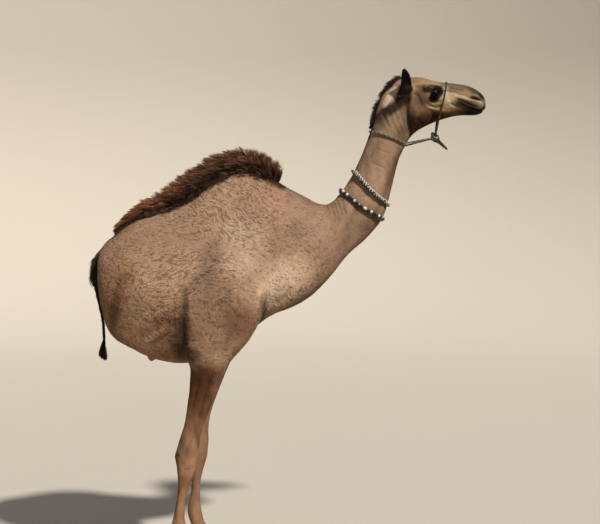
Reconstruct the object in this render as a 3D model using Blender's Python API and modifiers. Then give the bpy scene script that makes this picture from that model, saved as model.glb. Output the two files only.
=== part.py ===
"""A life-size dromedary camel that stands on its two forelegs, as a museum figure on a flat base.

The camel faces +X and its left side is +Y. The origin is the middle of the base's underside.
The flesh is lofted from sections, fused into one body and then parted by thin plane cuts.
All sizes are in metres. Heights are measured from the ground that the feet stand on.
"""

import math

import bmesh
import bpy
from mathutils import Matrix, Vector
from mathutils.bvhtree import BVHTree

# ---------------------------------------------------------------- driving dimensions
BASE_LENGTH = 1.50
BASE_WIDTH = 0.80
BASE_THICKNESS = 0.04
BASE_CORNER = 0.06
BASE_EDGE = 0.006

GAP = 0.0004  # left between neighbouring solids
VOXEL = 0.011  # grain of the fused flesh
SMOOTHING = 7  # passes that soften the fused flesh
BODY_TRIANGLES = 3800  # before it is parted
HEAD_FINENESS = 0.007

EYE = {"x": 1.112, "y": 0.069, "height": 2.384, "radius": 0.021}
EAR_LENGTH = 0.142
EAR_ROOT = (0.962, 0.074, 2.368)
EAR_LEAN = -4  # degrees, backward
EAR_SPREAD = 17  # degrees, outward
EAR_TURN = 66  # degrees from facing forward
ROPE_RADIUS = 0.0055
BEAD_RADIUS = 0.009
NECKLACE_SAG = 0.016
LEFT_LEG_LEAD = 0.045  # the left foot stands this far ahead of the right one
TAIL_ROOT = (-0.590, 1.590)

RIGHT, LEFT = -1, 1

COAT = {"colour": (0.40, 0.25, 0.15), "roughness": 0.85}
DARK_HAIR = {"colour": (0.09, 0.045, 0.025), "roughness": 0.8}
EYE_GLASS = {"colour": (0.02, 0.012, 0.008), "roughness": 0.15}
NAIL_HORN = {"colour": (0.10, 0.075, 0.055), "roughness": 0.55}
ROPE_FIBRE = {"colour": (0.20, 0.15, 0.11), "roughness": 0.9}
BEADS = {"colour": (0.62, 0.58, 0.50), "roughness": 0.45}
BASE_PAINT = {"colour": (0.55, 0.50, 0.43), "roughness": 0.6}


# ---------------------------------------------------------------- tools
def clear_scene():
    for old in list(bpy.data.objects):
        bpy.data.objects.remove(old)


def collection(name, shown=True):
    made = bpy.data.collections.new(name)
    made.hide_render = not shown
    bpy.context.scene.collection.children.link(made)
    return made


def material(name, finish):
    made = bpy.data.materials.new(name)
    made.use_nodes = True
    shader = made.node_tree.nodes["Principled BSDF"]
    shader.inputs["Base Color"].default_value = (*finish["colour"], 1.0)
    shader.inputs["Roughness"].default_value = finish["roughness"]
    shader.inputs["Metallic"].default_value = 0.0
    return made


def at(x, y, height):
    """A point given by its height above the ground that the feet stand on."""
    return Vector((x, y, BASE_THICKNESS + height))


def new_object(name, bm, home):
    bmesh.ops.recalc_face_normals(bm, faces=bm.faces)
    mesh = bpy.data.meshes.new(name)
    bm.to_mesh(mesh)
    bm.free()
    made = bpy.data.objects.new(name, mesh)
    home.objects.link(made)
    return made


def bake(obj):
    """Replaces an object's mesh by what its modifiers make of it."""
    graph = bpy.context.evaluated_depsgraph_get()
    mesh = bpy.data.meshes.new_from_object(obj.evaluated_get(graph))
    obj.modifiers.clear()
    obj.data = mesh
    return obj


def remove(*objects):
    for obj in objects:
        bpy.data.objects.remove(obj)


def carve(obj, cutter, operation="DIFFERENCE"):
    modifier = obj.modifiers.new("carve", "BOOLEAN")
    modifier.operation = operation
    modifier.object = cutter
    return bake(obj)


def spline(knots, steps):
    """Catmull-Rom curve through lists of numbers, sampled evenly between each two knots."""
    padded = [knots[0], *knots, knots[-1]]
    points = []
    for i in range(len(knots) - 1):
        before, start, end, after = padded[i : i + 4]
        for step in range(steps):
            t = step / steps
            points.append(
                [
                    0.5 * (2 * b + (c - a) * t + (2 * a - 5 * b + 4 * c - d) * t**2 + (3 * b - a - 3 * c + d) * t**3)
                    for a, b, c, d in zip(before, start, end, after)
                ]
            )
    points.append(list(knots[-1]))
    return points


def rounded(angle, power):
    """Cosine and sine of a superellipse: 2 is round, less is pinched, more is boxy."""
    c, s = math.cos(angle), math.sin(angle)
    return math.copysign(abs(c) ** (2 / power), c), math.copysign(abs(s) ** (2 / power), s)


def skin_rings(rings):
    """A closed tube through rings of equal length, with a fan at either end."""
    bm = bmesh.new()
    rows = [[bm.verts.new(point) for point in ring] for ring in rings]
    count = len(rows[0])
    for lower, upper in zip(rows, rows[1:]):
        for i in range(count):
            j = (i + 1) % count
            bm.faces.new((lower[i], lower[j], upper[j], upper[i]))
    for row in (rows[0], rows[-1]):
        middle = bm.verts.new(sum((v.co for v in row), Vector()) / count)
        for i in range(count):
            bm.faces.new((row[i], row[(i + 1) % count], middle))
    return bm


def profile_loft(name, stations, home, ring=28, steps=4):
    """A body seen from the side. Each station has its top and bottom point as (x, height), its half
    width, how far up the widest place lies (0 to 1), and the roundness above and below that."""
    knots = [
        (*s["top"], *s["bottom"], s["half"], s.get("widest", 0.5), s.get("above", 2.0), s.get("below", 2.0))
        for s in stations
    ]
    rings = []
    for tx, tz, bx, bz, half, widest, above, below in spline(knots, steps):
        top, bottom = at(tx, 0, tz), at(bx, 0, bz)
        middle = bottom.lerp(top, widest)
        points = []
        for i in range(ring):
            angle = math.tau * i / ring
            side, rise = rounded(angle, above if math.sin(angle) >= 0 else below)
            reach = (top - middle) if rise >= 0 else (middle - bottom)
            points.append(middle + reach * rise + Vector((0, half * side, 0)))
        rings.append(points)
    return new_object(name, skin_rings(rings), home)


def limb_loft(name, stations, home, ring=20, steps=4):
    """A limb along a path. Each station has a middle (x, y, height), a half depth in the plane of
    the body, a half width across it, and optionally a roundness."""
    knots = [(*s["middle"], s["depth"], s["width"], s.get("round", 2.0)) for s in stations]
    samples = spline(knots, steps)
    middles = [at(*sample[:3]) for sample in samples]
    rings = []
    for i, (middle, sample) in enumerate(zip(middles, samples)):
        along = (middles[min(i + 1, len(middles) - 1)] - middles[max(i - 1, 0)]).normalized()
        across = Vector((0, 1, 0))
        fore = across.cross(along).normalized()
        across = along.cross(fore)
        depth, width, power = sample[3:]
        points = []
        for k in range(ring):
            side, front = rounded(math.tau * k / ring, power)
            points.append(middle + across * (side * width) + fore * (front * depth))
        rings.append(points)
    return new_object(name, skin_rings(rings), home)


def ellipsoid(name, middle, radii, home, pitch=0.0, yaw=0.0, segments=24):
    """An ellipsoid whose long axis is turned in the plane of the body (pitch) and about Z (yaw)."""
    bm = bmesh.new()
    turn = Matrix.Rotation(math.radians(yaw), 4, "Z") @ Matrix.Rotation(math.radians(-pitch), 4, "Y")
    place = Matrix.Translation(at(*middle)) @ turn @ Matrix.Diagonal((*radii, 1.0))
    bmesh.ops.create_uvsphere(bm, u_segments=segments, v_segments=segments // 2, radius=1.0, matrix=place)
    return new_object(name, bm, home)


def swollen(obj, amount, home):
    """A hidden copy of an object, a little larger, that carves its neighbours."""
    bm = bmesh.new()
    bm.from_mesh(obj.data)
    bm.normal_update()
    for vertex in bm.verts:
        vertex.co += vertex.normal * amount
    made = new_object(obj.name + "_cutter", bm, home)
    made.hide_render = True
    made.display_type = "WIRE"
    return made


def keep_side(obj, point, normal):
    """Cuts an object by a plane, keeps the side the normal points to, and closes the cut."""
    bm = bmesh.new()
    bm.from_mesh(obj.data)
    everything = bm.verts[:] + bm.edges[:] + bm.faces[:]
    bmesh.ops.bisect_plane(bm, geom=everything, dist=1e-6, plane_co=point, plane_no=normal, clear_inner=True)
    rim = [edge for edge in bm.edges if edge.is_boundary]
    bmesh.ops.holes_fill(bm, edges=rim, sides=0)
    bmesh.ops.triangulate(bm, faces=[f for f in bm.faces if len(f.verts) > 4])
    bmesh.ops.recalc_face_normals(bm, faces=bm.faces)
    bm.to_mesh(obj.data)
    bm.free()


def part_at(obj, point, normal, front_name):
    """Parts an object at a plane. The piece in front becomes a new object."""
    front = obj.copy()
    front.data = obj.data.copy()
    front.name = front_name
    obj.users_collection[0].objects.link(front)
    normal = Vector(normal).normalized()
    keep_side(front, point + normal * GAP / 2, normal)
    keep_side(obj, point - normal * GAP / 2, -normal)
    return front


def part_left_right(obj, left_name, right_name):
    """Parts an object that is two bodies, one either side of the plane Y = 0."""
    halves = []
    for side, name in ((LEFT, left_name), (RIGHT, right_name)):
        half = obj.copy()
        half.data = obj.data.copy()
        half.name = name
        obj.users_collection[0].objects.link(half)
        bm = bmesh.new()
        bm.from_mesh(half.data)
        bmesh.ops.delete(bm, geom=[v for v in bm.verts if v.co.y * side < 0], context="VERTS")
        bm.to_mesh(half.data)
        bm.free()
        halves.append(half)
    remove(obj)
    return halves


# ---------------------------------------------------------------- flesh
def trunk_and_neck(home):
    """Barrel, hump, chest and neck in one loft, from the rump to the back of the head."""
    stations = [
        {"top": (-0.597, 1.520), "bottom": (-0.594, 1.400), "half": 0.050},
        {"top": (-0.590, 1.590), "bottom": (-0.580, 1.290), "half": 0.130, "widest": 0.52},
        {"top": (-0.560, 1.640), "bottom": (-0.556, 1.190), "half": 0.188, "widest": 0.50},
        {"top": (-0.505, 1.685), "bottom": (-0.510, 1.125), "half": 0.235, "widest": 0.48, "above": 1.9},
        {"top": (-0.430, 1.740), "bottom": (-0.430, 1.080), "half": 0.275, "widest": 0.46, "above": 1.75},
        {"top": (-0.335, 1.790), "bottom": (-0.340, 1.036), "half": 0.305, "widest": 0.43, "above": 1.6},
        {"top": (-0.240, 1.812), "bottom": (-0.250, 1.012), "half": 0.320, "widest": 0.41, "above": 1.5},
        {"top": (-0.130, 1.870), "bottom": (-0.160, 1.003), "half": 0.325, "widest": 0.38, "above": 1.4},
        {"top": (-0.030, 1.945), "bottom": (-0.070, 1.015), "half": 0.312, "widest": 0.36, "above": 1.35},
        {"top": (0.070, 2.002), "bottom": (0.010, 1.038), "half": 0.286, "widest": 0.35, "above": 1.35},
        {"top": (0.180, 2.012), "bottom": (0.095, 1.085), "half": 0.252, "widest": 0.36, "above": 1.42},
        {"top": (0.285, 1.974), "bottom": (0.180, 1.165), "half": 0.218, "widest": 0.38, "above": 1.6},
        {"top": (0.385, 1.912), "bottom": (0.290, 1.243), "half": 0.187, "widest": 0.42, "above": 1.8},
        {"top": (0.470, 1.870), "bottom": (0.400, 1.292), "half": 0.163, "widest": 0.46, "above": 1.9},
        {"top": (0.540, 1.834), "bottom": (0.500, 1.347), "half": 0.144, "widest": 0.48},
        {"top": (0.590, 1.840), "bottom": (0.590, 1.437), "half": 0.129, "widest": 0.50},
        {"top": (0.632, 1.882), "bottom": (0.690, 1.558), "half": 0.116, "widest": 0.50},
        {"top": (0.670, 1.932), "bottom": (0.790, 1.650), "half": 0.105, "widest": 0.50},
        {"top": (0.703, 1.990), "bottom": (0.862, 1.742), "half": 0.097, "widest": 0.50},
        {"top": (0.735, 2.062), "bottom": (0.899, 1.850), "half": 0.090, "widest": 0.50},
        {"top": (0.765, 2.142), "bottom": (0.927, 1.960), "half": 0.085, "widest": 0.50},
        {"top": (0.792, 2.222), "bottom": (0.955, 2.056), "half": 0.082, "widest": 0.52},
        {"top": (0.815, 2.305), "bottom": (0.985, 2.120), "half": 0.081, "widest": 0.56},
        {"top": (0.845, 2.390), "bottom": (1.010, 2.170), "half": 0.078, "widest": 0.60},
        {"top": (0.895, 2.445), "bottom": (1.010, 2.240), "half": 0.060, "widest": 0.60},
    ]
    return profile_loft("trunk_loft", stations, home)


def head_core(home):
    """Skull, muzzle and jaw, from the poll to the lips."""
    stations = [
        {"top": (0.885, 2.430), "bottom": (0.930, 2.270), "half": 0.050},
        {"top": (0.925, 2.466), "bottom": (0.965, 2.180), "half": 0.074, "widest": 0.62},
        {"top": (0.975, 2.476), "bottom": (1.010, 2.164), "half": 0.084, "widest": 0.68, "below": 1.8},
        {"top": (1.030, 2.474), "bottom": (1.045, 2.194), "half": 0.088, "widest": 0.70, "below": 1.8},
        {"top": (1.085, 2.464), "bottom": (1.090, 2.220), "half": 0.087, "widest": 0.70, "below": 1.8},
        {"top": (1.135, 2.455), "bottom": (1.135, 2.240), "half": 0.075, "widest": 0.62, "below": 1.9},
        {"top": (1.185, 2.449), "bottom": (1.185, 2.257), "half": 0.061, "widest": 0.52},
        {"top": (1.235, 2.445), "bottom": (1.235, 2.268), "half": 0.053, "widest": 0.48},
        {"top": (1.280, 2.438), "bottom": (1.285, 2.272), "half": 0.052, "widest": 0.48, "below": 2.2},
        {"top": (1.320, 2.424), "bottom": (1.322, 2.272), "half": 0.054, "widest": 0.48, "below": 2.3},
        {"top": (1.352, 2.402), "bottom": (1.350, 2.277), "half": 0.051, "widest": 0.48, "below": 2.3},
        {"top": (1.373, 2.373), "bottom": (1.372, 2.295), "half": 0.040, "widest": 0.48},
        {"top": (1.387, 2.338), "bottom": (1.386, 2.308), "half": 0.018},
    ]
    return profile_loft("head_loft", stations, home)


def head_forms(side, home):
    """Brow, cheek and jaw muscle, nostril wing and lips of one side of the head."""
    return [
        ellipsoid("brow", (1.098, side * 0.066, 2.418), (0.052, 0.026, 0.020), home, pitch=-10, yaw=-side * 10),
        ellipsoid("cheekbone", (1.130, side * 0.062, 2.346), (0.062, 0.022, 0.018), home, pitch=-12, yaw=-side * 14),
        ellipsoid("jaw_muscle", (1.035, side * 0.056, 2.282), (0.066, 0.030, 0.075), home, pitch=20),
        ellipsoid("nostril_wing", (1.348, side * 0.030, 2.378), (0.036, 0.018, 0.020), home, pitch=-38),
        ellipsoid("upper_lip", (1.342, side * 0.030, 2.330), (0.050, 0.026, 0.027), home, pitch=-14),
        ellipsoid("ear_root", (0.960, side * 0.070, 2.392), (0.030, 0.024, 0.040), home, pitch=8),
    ]


def foreleg(side, home):
    """One foreleg from the top of the shoulder blade down to the pastern."""
    lead = LEFT_LEG_LEAD if side == LEFT else 0.0

    def leg(x, y, height, depth, width, power=2.0):
        share = min(1.0, max(0.0, (0.8 - height) / 0.5))  # the lead grows down the leg
        return {"middle": (x + lead * share, side * y, height), "depth": depth, "width": width, "round": power}

    return limb_loft(
        "foreleg",
        [
            leg(0.220, 0.110, 1.650, 0.070, 0.055),
            leg(0.190, 0.145, 1.500, 0.115, 0.085),
            leg(0.145, 0.172, 1.370, 0.140, 0.098),
            leg(0.088, 0.186, 1.250, 0.145, 0.102),
            leg(0.030, 0.194, 1.150, 0.132, 0.094),
            leg(-0.008, 0.194, 1.060, 0.106, 0.082),
            leg(-0.032, 0.188, 0.960, 0.084, 0.069),
            leg(-0.054, 0.178, 0.870, 0.070, 0.058),
            leg(-0.078, 0.171, 0.780, 0.060, 0.050),
            leg(-0.100, 0.166, 0.700, 0.053, 0.045),
            leg(-0.117, 0.162, 0.635, 0.057, 0.049, 2.2),
            leg(-0.131, 0.160, 0.570, 0.060, 0.053, 2.4),
            leg(-0.133, 0.160, 0.500, 0.054, 0.050, 2.4),
            leg(-0.144, 0.161, 0.425, 0.038, 0.039),
            leg(-0.156, 0.163, 0.365, 0.030, 0.030),
            leg(-0.164, 0.165, 0.310, 0.030, 0.030),
            leg(-0.171, 0.166, 0.250, 0.036, 0.034),
            leg(-0.171, 0.167, 0.190, 0.045, 0.045),
            leg(-0.158, 0.169, 0.135, 0.041, 0.046),
            leg(-0.142, 0.170, 0.090, 0.046, 0.052),
            leg(-0.125, 0.170, 0.050, 0.050, 0.060),
        ],
        home,
    )


def foot(side, home):
    """The broad pad with its two toes, below the pastern."""
    lead = LEFT_LEG_LEAD if side == LEFT else 0.0
    x, y = -0.130 + lead, side * 0.170
    forms = [
        ellipsoid("pad", (x, y, 0.018), (0.098, 0.082, 0.042), home),
        ellipsoid("heel", (x - 0.048, y, 0.040), (0.050, 0.056, 0.046), home),
    ]
    for toe in (-1, 1):
        forms.append(
            ellipsoid("toe", (x + 0.040, y + toe * 0.038, 0.034), (0.070, 0.036, 0.040), home, pitch=-16, yaw=toe * 8)
        )
    return forms


def shoulder_forms(side, home):
    """Point of the shoulder, triceps and elbow of one foreleg, and the haunch on the same side."""
    return [
        ellipsoid("point_of_shoulder", (0.145, side * 0.150, 1.215), (0.068, 0.074, 0.074), home),
        ellipsoid("triceps", (0.005, side * 0.196, 1.250), (0.125, 0.092, 0.190), home, pitch=-14),
        ellipsoid("elbow", (-0.068, side * 0.208, 1.100), (0.062, 0.058, 0.110), home, pitch=-6),
        ellipsoid("haunch", (-0.360, side * 0.170, 1.430), (0.200, 0.105, 0.230), home, pitch=-20),
    ]


def build_flesh(home):
    """The whole body as one mesh: everything that is skin and muscle."""
    forms = [trunk_and_neck(home), head_core(home)]
    forms.append(ellipsoid("lower_lip", (1.332, 0, 2.294), (0.048, 0.034, 0.022), home, pitch=8))
    forms.append(ellipsoid("forehead", (1.045, 0, 2.444), (0.075, 0.055, 0.034), home, pitch=-8))
    forms.append(ellipsoid("breast", (0.045, 0, 1.215), (0.150, 0.160, 0.148), home))
    forms.append(ellipsoid("navel", (-0.323, 0, 1.040), (0.030, 0.020, 0.018), home))
    for side in (RIGHT, LEFT):
        forms += head_forms(side, home)
        forms += shoulder_forms(side, home)
        forms += foot(side, home)
        forms.append(foreleg(side, home))
    bm = bmesh.new()
    for form in forms:
        bm.from_mesh(form.data)
    remove(*forms)
    body = new_object("body", bm, home)
    fuse(body)
    thin_out(body)
    return body


def fuse(body):
    """Melts overlapping closed shapes into one smooth surface."""
    remesh = body.modifiers.new("fuse", "REMESH")
    remesh.mode = "VOXEL"
    remesh.voxel_size = VOXEL
    soften = body.modifiers.new("soften", "SMOOTH")
    soften.factor = 0.5
    soften.iterations = SMOOTHING
    bake(body)


def thin_out(body):
    """Brings the body to its number of triangles, finer on the head and the feet."""
    coarse = body.vertex_groups.new(name="coarse")
    for vertex in body.data.vertices:
        height = vertex.co.z - BASE_THICKNESS
        freedom = 0.5 if vertex.co.x > 0.90 and height > 2.12 else 0.7 if height < 0.22 else 1.0
        coarse.add([vertex.index], freedom, "REPLACE")
    decimate = body.modifiers.new("thin_out", "DECIMATE")
    decimate.ratio = BODY_TRIANGLES / sum(len(p.vertices) - 2 for p in body.data.polygons)
    decimate.vertex_group = "coarse"
    decimate.vertex_group_factor = HEAD_FINENESS
    decimate.use_symmetry = False
    bake(body)
    body.vertex_groups.clear()
    bm = bmesh.new()
    bm.from_mesh(body.data)
    bmesh.ops.triangulate(bm, faces=bm.faces)
    bm.to_mesh(body.data)
    bm.free()


# ---------------------------------------------------------------- eyes, ears, nails
def eye(side, home):
    name = "eye_left" if side == LEFT else "eye_right"
    middle = (EYE["x"], side * EYE["y"], EYE["height"])
    return ellipsoid(name, middle, (EYE["radius"],) * 3, home, segments=14)


def ear(side, home):
    """A short leaf-shaped ear, hollow at its front, whose edge bulges forward."""
    rows, ring = 7, 10
    rings = []
    for row in range(rows + 1):
        t = row / rows
        half = 0.030 * math.sin(math.pi * (0.24 + 0.73 * t)) ** 0.7
        thick = 0.011 * (1 - 0.55 * t)
        bulge = 0.013 * math.sin(math.pi * t)
        points = []
        for i in range(ring):
            c, s = rounded(math.tau * i / ring, 2.2)
            hollow = 0.016 * (1 - c * c) * math.sin(math.pi * min(1.0, t + 0.12))
            points.append(Vector((thick * s - hollow, half * c - side * bulge, EAR_LENGTH * t)))
        rings.append(points)
    bm = skin_rings(rings)
    turn = (
        Matrix.Rotation(math.radians(EAR_LEAN), 4, "Y")
        @ Matrix.Rotation(math.radians(-side * EAR_SPREAD), 4, "X")
        @ Matrix.Rotation(math.radians(side * EAR_TURN), 4, "Z")
    )
    x, y, height = EAR_ROOT
    root = Matrix.Translation(at(x, side * y, height))
    bmesh.ops.transform(bm, matrix=root @ turn, verts=bm.verts)
    return new_object("ear_left" if side == LEFT else "ear_right", bm, home)


def nails(side, home):
    """The two small nails at the front of a foot."""
    lead = LEFT_LEG_LEAD if side == LEFT else 0.0
    word = "left" if side == LEFT else "right"
    made = []
    for toe, place in ((-1, "a"), (1, "b")):
        middle = (-0.034 + lead, side * 0.170 + toe * 0.036, 0.030)
        made.append(
            ellipsoid(f"nail_{word}_{place}", middle, (0.022, 0.017, 0.020), home, pitch=-30, segments=8)
        )
    return made


# ---------------------------------------------------------------- long hair
def hump_mane(home):
    """The upright brush of long hair along the back and the hump, out to its tips."""
    stations = [
        {"top": (-0.525, 1.722), "bottom": (-0.510, 1.650), "half": 0.012},
        {"top": (-0.487, 1.769), "bottom": (-0.470, 1.680), "half": 0.030, "above": 1.6},
        {"top": (-0.385, 1.856), "bottom": (-0.370, 1.750), "half": 0.040, "above": 1.6},
        {"top": (-0.282, 1.903), "bottom": (-0.265, 1.770), "half": 0.043, "above": 1.6},
        {"top": (-0.179, 1.985), "bottom": (-0.160, 1.820), "half": 0.045, "above": 1.6},
        {"top": (-0.077, 2.056), "bottom": (-0.055, 1.890), "half": 0.045, "above": 1.6},
        {"top": (0.026, 2.108), "bottom": (0.045, 1.950), "half": 0.045, "above": 1.6},
        {"top": (0.128, 2.120), "bottom": (0.135, 1.970), "half": 0.045, "above": 1.6},
        {"top": (0.231, 2.100), "bottom": (0.220, 1.960), "half": 0.042, "above": 1.6},
        {"top": (0.305, 2.052), "bottom": (0.285, 1.930), "half": 0.036, "above": 1.6},
        {"top": (0.348, 2.018), "bottom": (0.330, 1.910), "half": 0.016, "above": 1.6},
    ]
    return profile_loft("hump_mane", stations, home, ring=12, steps=2)


def nape_mane(home):
    """The short dark crest of hair down the back of the neck, from the poll."""
    stations = [
        {"top": (0.950, 2.484), "bottom": (0.958, 2.450), "half": 0.014},
        {"top": (0.905, 2.474), "bottom": (0.925, 2.430), "half": 0.024},
        {"top": (0.860, 2.420), "bottom": (0.890, 2.375), "half": 0.026},
        {"top": (0.824, 2.348), "bottom": (0.860, 2.305), "half": 0.026},
        {"top": (0.797, 2.274), "bottom": (0.830, 2.235), "half": 0.022},
        {"top": (0.782, 2.226), "bottom": (0.800, 2.190), "half": 0.010},
    ]
    return profile_loft("nape_mane", stations, home, ring=10, steps=2)


def tail(home):
    """The tail down to its tuft, with the fringe of hair along it."""
    x, height = TAIL_ROOT
    return limb_loft(
        "tail",
        [
            {"middle": (x + 0.025, 0, height + 0.005), "depth": 0.020, "width": 0.024},
            {"middle": (x - 0.012, 0, height - 0.040), "depth": 0.018, "width": 0.023},
            {"middle": (x - 0.028, 0, height - 0.110), "depth": 0.019, "width": 0.021},
            {"middle": (x - 0.029, 0, height - 0.170), "depth": 0.018, "width": 0.018},
            {"middle": (x - 0.020, 0, height - 0.230), "depth": 0.012, "width": 0.015},
            {"middle": (x - 0.006, 0, height - 0.290), "depth": 0.009, "width": 0.012},
            {"middle": (x + 0.006, 0, height - 0.350), "depth": 0.009, "width": 0.011},
            {"middle": (x + 0.016, 0, height - 0.420), "depth": 0.009, "width": 0.011},
            {"middle": (x + 0.016, 0, height - 0.4735), "depth": 0.010, "width": 0.013},
        ],
        home,
        ring=8,
        steps=2,
    )


def tail_tuft(home):
    x, height = TAIL_ROOT
    return limb_loft(
        "tail_tuft",
        [
            {"middle": (x + 0.016, 0, height - 0.474), "depth": 0.010, "width": 0.013},
            {"middle": (x + 0.014, 0, height - 0.505), "depth": 0.020, "width": 0.020},
            {"middle": (x + 0.012, 0, height - 0.535), "depth": 0.027, "width": 0.023},
            {"middle": (x + 0.010, 0, height - 0.568), "depth": 0.022, "width": 0.018},
        ],
        home,
        ring=8,
        steps=2,
    )


# ---------------------------------------------------------------- halter and necklaces
def ring_on(tree, middle, lean, clearance, count, start=0.0, stretch=math.tau, sag=0.0):
    """Points round the body at a plane that leans in the plane of symmetry. Angle 0 is its front.
    The sides of the ring hang lower than the plane by the sag."""
    lean = math.radians(lean)
    middle = at(*middle) + Vector((0, 0.0007, 0))
    forward = Vector((math.cos(lean), 0, math.sin(lean)))
    down = Vector((math.sin(lean), 0, -math.cos(lean)))
    points = []
    for i in range(count):
        angle = start + stretch * i / (count if stretch == math.tau else count - 1)
        way = forward * math.cos(angle) + Vector((0, 1, 0)) * math.sin(angle)
        hit = tree.ray_cast(middle + down * sag * math.sin(angle) ** 2, way)[0]
        points.append(hit + way * clearance)
    return points


def rope(name, points, radius, home, closed=False):
    """A round rope of the given radius along points, as a mesh."""
    curve = bpy.data.curves.new(name, "CURVE")
    curve.dimensions = "3D"
    curve.bevel_depth = radius
    curve.bevel_resolution = 1
    curve.use_fill_caps = True
    line = curve.splines.new("POLY")
    line.points.add(len(points) - 1)
    for slot, point in zip(line.points, points):
        slot.co = (*point, 1.0)
    line.use_cyclic_u = closed
    guide = bpy.data.objects.new(name + "_guide", curve)
    home.objects.link(guide)
    graph = bpy.context.evaluated_depsgraph_get()
    bm = bmesh.new()
    bm.from_mesh(bpy.data.meshes.new_from_object(guide.evaluated_get(graph)))
    bmesh.ops.remove_doubles(bm, verts=bm.verts, dist=1e-5)
    remove(guide)
    return new_object(name, bm, home)


def halter(tree, home):
    """A rope round the neck and one over the nose, both held by a knot under the chin."""
    knot_middle = (1.126, 0.0, 2.164)
    knot = ellipsoid("halter", knot_middle, (0.028, 0.020, 0.024), home, pitch=-30, segments=10)
    end = ellipsoid("end", (1.170, -0.004, 2.128), (0.042, 0.009, 0.011), home, pitch=-38, segments=8)
    hold = at(*knot_middle)
    away = math.radians(24)
    neck_ring = ring_on(
        tree, (0.885, 0, 2.162), -20, ROPE_RADIUS + 0.003, 26, start=away, stretch=math.tau - 2 * away
    )
    nose_free = math.radians(32)
    nose_ring = ring_on(
        tree, (1.160, 0, 2.350), -103, ROPE_RADIUS + 0.003, 18, start=nose_free, stretch=math.tau - 2 * nose_free
    )
    for name, loop, spread in (("neck_rope", neck_ring, 0.012), ("nose_rope", nose_ring, 0.008)):
        start = hold + Vector((0, spread, 0))
        stop = hold + Vector((0, -spread, 0))
        piece = rope(name, [start, *loop, stop], ROPE_RADIUS, home)
        carve(knot, piece, "UNION")
        remove(piece)
    carve(knot, end, "UNION")
    remove(end)
    return knot


def necklace(name, tree, middle, lean, home):
    """A closed string of beads that lies on the neck."""
    points = ring_on(tree, middle, lean, BEAD_RADIUS + 0.003, 28, sag=NECKLACE_SAG)
    return rope(name, points, BEAD_RADIUS, home, closed=True)


# ---------------------------------------------------------------- base
def stand_base(home):
    bm = bmesh.new()
    size = Matrix.Diagonal((BASE_LENGTH, BASE_WIDTH, BASE_THICKNESS, 1.0))
    lift = Matrix.Translation((0, 0, BASE_THICKNESS / 2))
    bmesh.ops.create_cube(bm, size=1.0, matrix=lift @ size)
    upright = [e for e in bm.edges if abs(e.verts[0].co.z - e.verts[1].co.z) > BASE_THICKNESS / 2]
    bmesh.ops.bevel(bm, geom=upright, offset=BASE_CORNER, segments=6, affect="EDGES", profile=0.5)
    rim = [
        e
        for e in bm.edges
        if all(v.co.z > BASE_THICKNESS * 0.9 for v in e.verts) and any(abs(f.normal.z) < 0.5 for f in e.link_faces)
    ]
    bmesh.ops.bevel(bm, geom=rim, offset=BASE_EDGE, segments=2, affect="EDGES", profile=0.5)
    return new_object("stand_base", bm, home)


# ---------------------------------------------------------------- assembly
def part_body(body):
    """Parts the fused body where a person names its pieces."""
    neck = part_at(body, at(0.560, 0, 1.640), (1.0, 0, 0.10), "neck_lower")
    upper = part_at(neck, at(0.800, 0, 1.880), (0.50, 0, 0.87), "neck_upper")
    head = part_at(upper, at(0.930, 0, 2.300), (0.92, 0, 0.39), "head")
    legs = part_at(body, at(-0.030, 0, 0.995), (0.0, 0, -1.0), "legs")
    hump = part_at(body, at(0.0, 0, 1.760), (-0.06, 0, 1.0), "hump")
    body.name = "trunk"
    cannons = part_at(legs, at(0, 0, 0.535), (0, 0, -1.0), "cannons")
    feet = part_at(cannons, at(0, 0, 0.130), (0, 0, -1.0), "feet")
    keep_side(feet, at(0, 0, GAP), Vector((0, 0, 1)))
    flesh = [neck, upper, head, hump, body]
    for piece, word in ((legs, "forearm"), (cannons, "cannon"), (feet, "foot")):
        flesh += part_left_right(piece, f"{word}_left", f"{word}_right")
    return flesh


def main():
    clear_scene()
    home = collection("camel")
    helpers = collection("helpers", shown=False)
    coat = material("coat", COAT)
    dark = material("dark_hair", DARK_HAIR)

    body = build_flesh(home)
    eyes = [eye(side, home) for side in (RIGHT, LEFT)]
    for ball in eyes:
        socket = swollen(ball, GAP, helpers)
        carve(body, socket)
        remove(socket)
    tree = BVHTree.FromObject(body, bpy.context.evaluated_depsgraph_get())
    shell = swollen(body, GAP, helpers)
    grown = {
        "ears": [ear(side, home) for side in (RIGHT, LEFT)],
        "nails": nails(RIGHT, home) + nails(LEFT, home),
        "manes": [hump_mane(home), nape_mane(home)],
        "tail": [tail(home)],
        "halter": [halter(tree, home)],
        "necklaces": [
            necklace("necklace_upper", tree, (0.805, 0, 1.905), -44, home),
            necklace("necklace_lower", tree, (0.755, 0, 1.825), -34, home),
        ],
    }
    for pieces in grown.values():
        for piece in pieces:
            carve(piece, shell)
    remove(shell)
    grown["tail"].append(tail_tuft(home))
    flesh = part_body(body)
    base = stand_base(home)

    dress = [
        (flesh + grown["ears"], coat),
        (grown["manes"] + grown["tail"], dark),
        (eyes, material("eye", EYE_GLASS)),
        (grown["nails"], material("nail", NAIL_HORN)),
        (grown["halter"], material("rope", ROPE_FIBRE)),
        (grown["necklaces"], material("beads", BEADS)),
        ([base], material("base", BASE_PAINT)),
    ]
    for pieces, finish in dress:
        for piece in pieces:
            piece.data.materials.clear()
            piece.data.materials.append(finish)
            piece.data.shade_smooth()


main()
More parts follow.
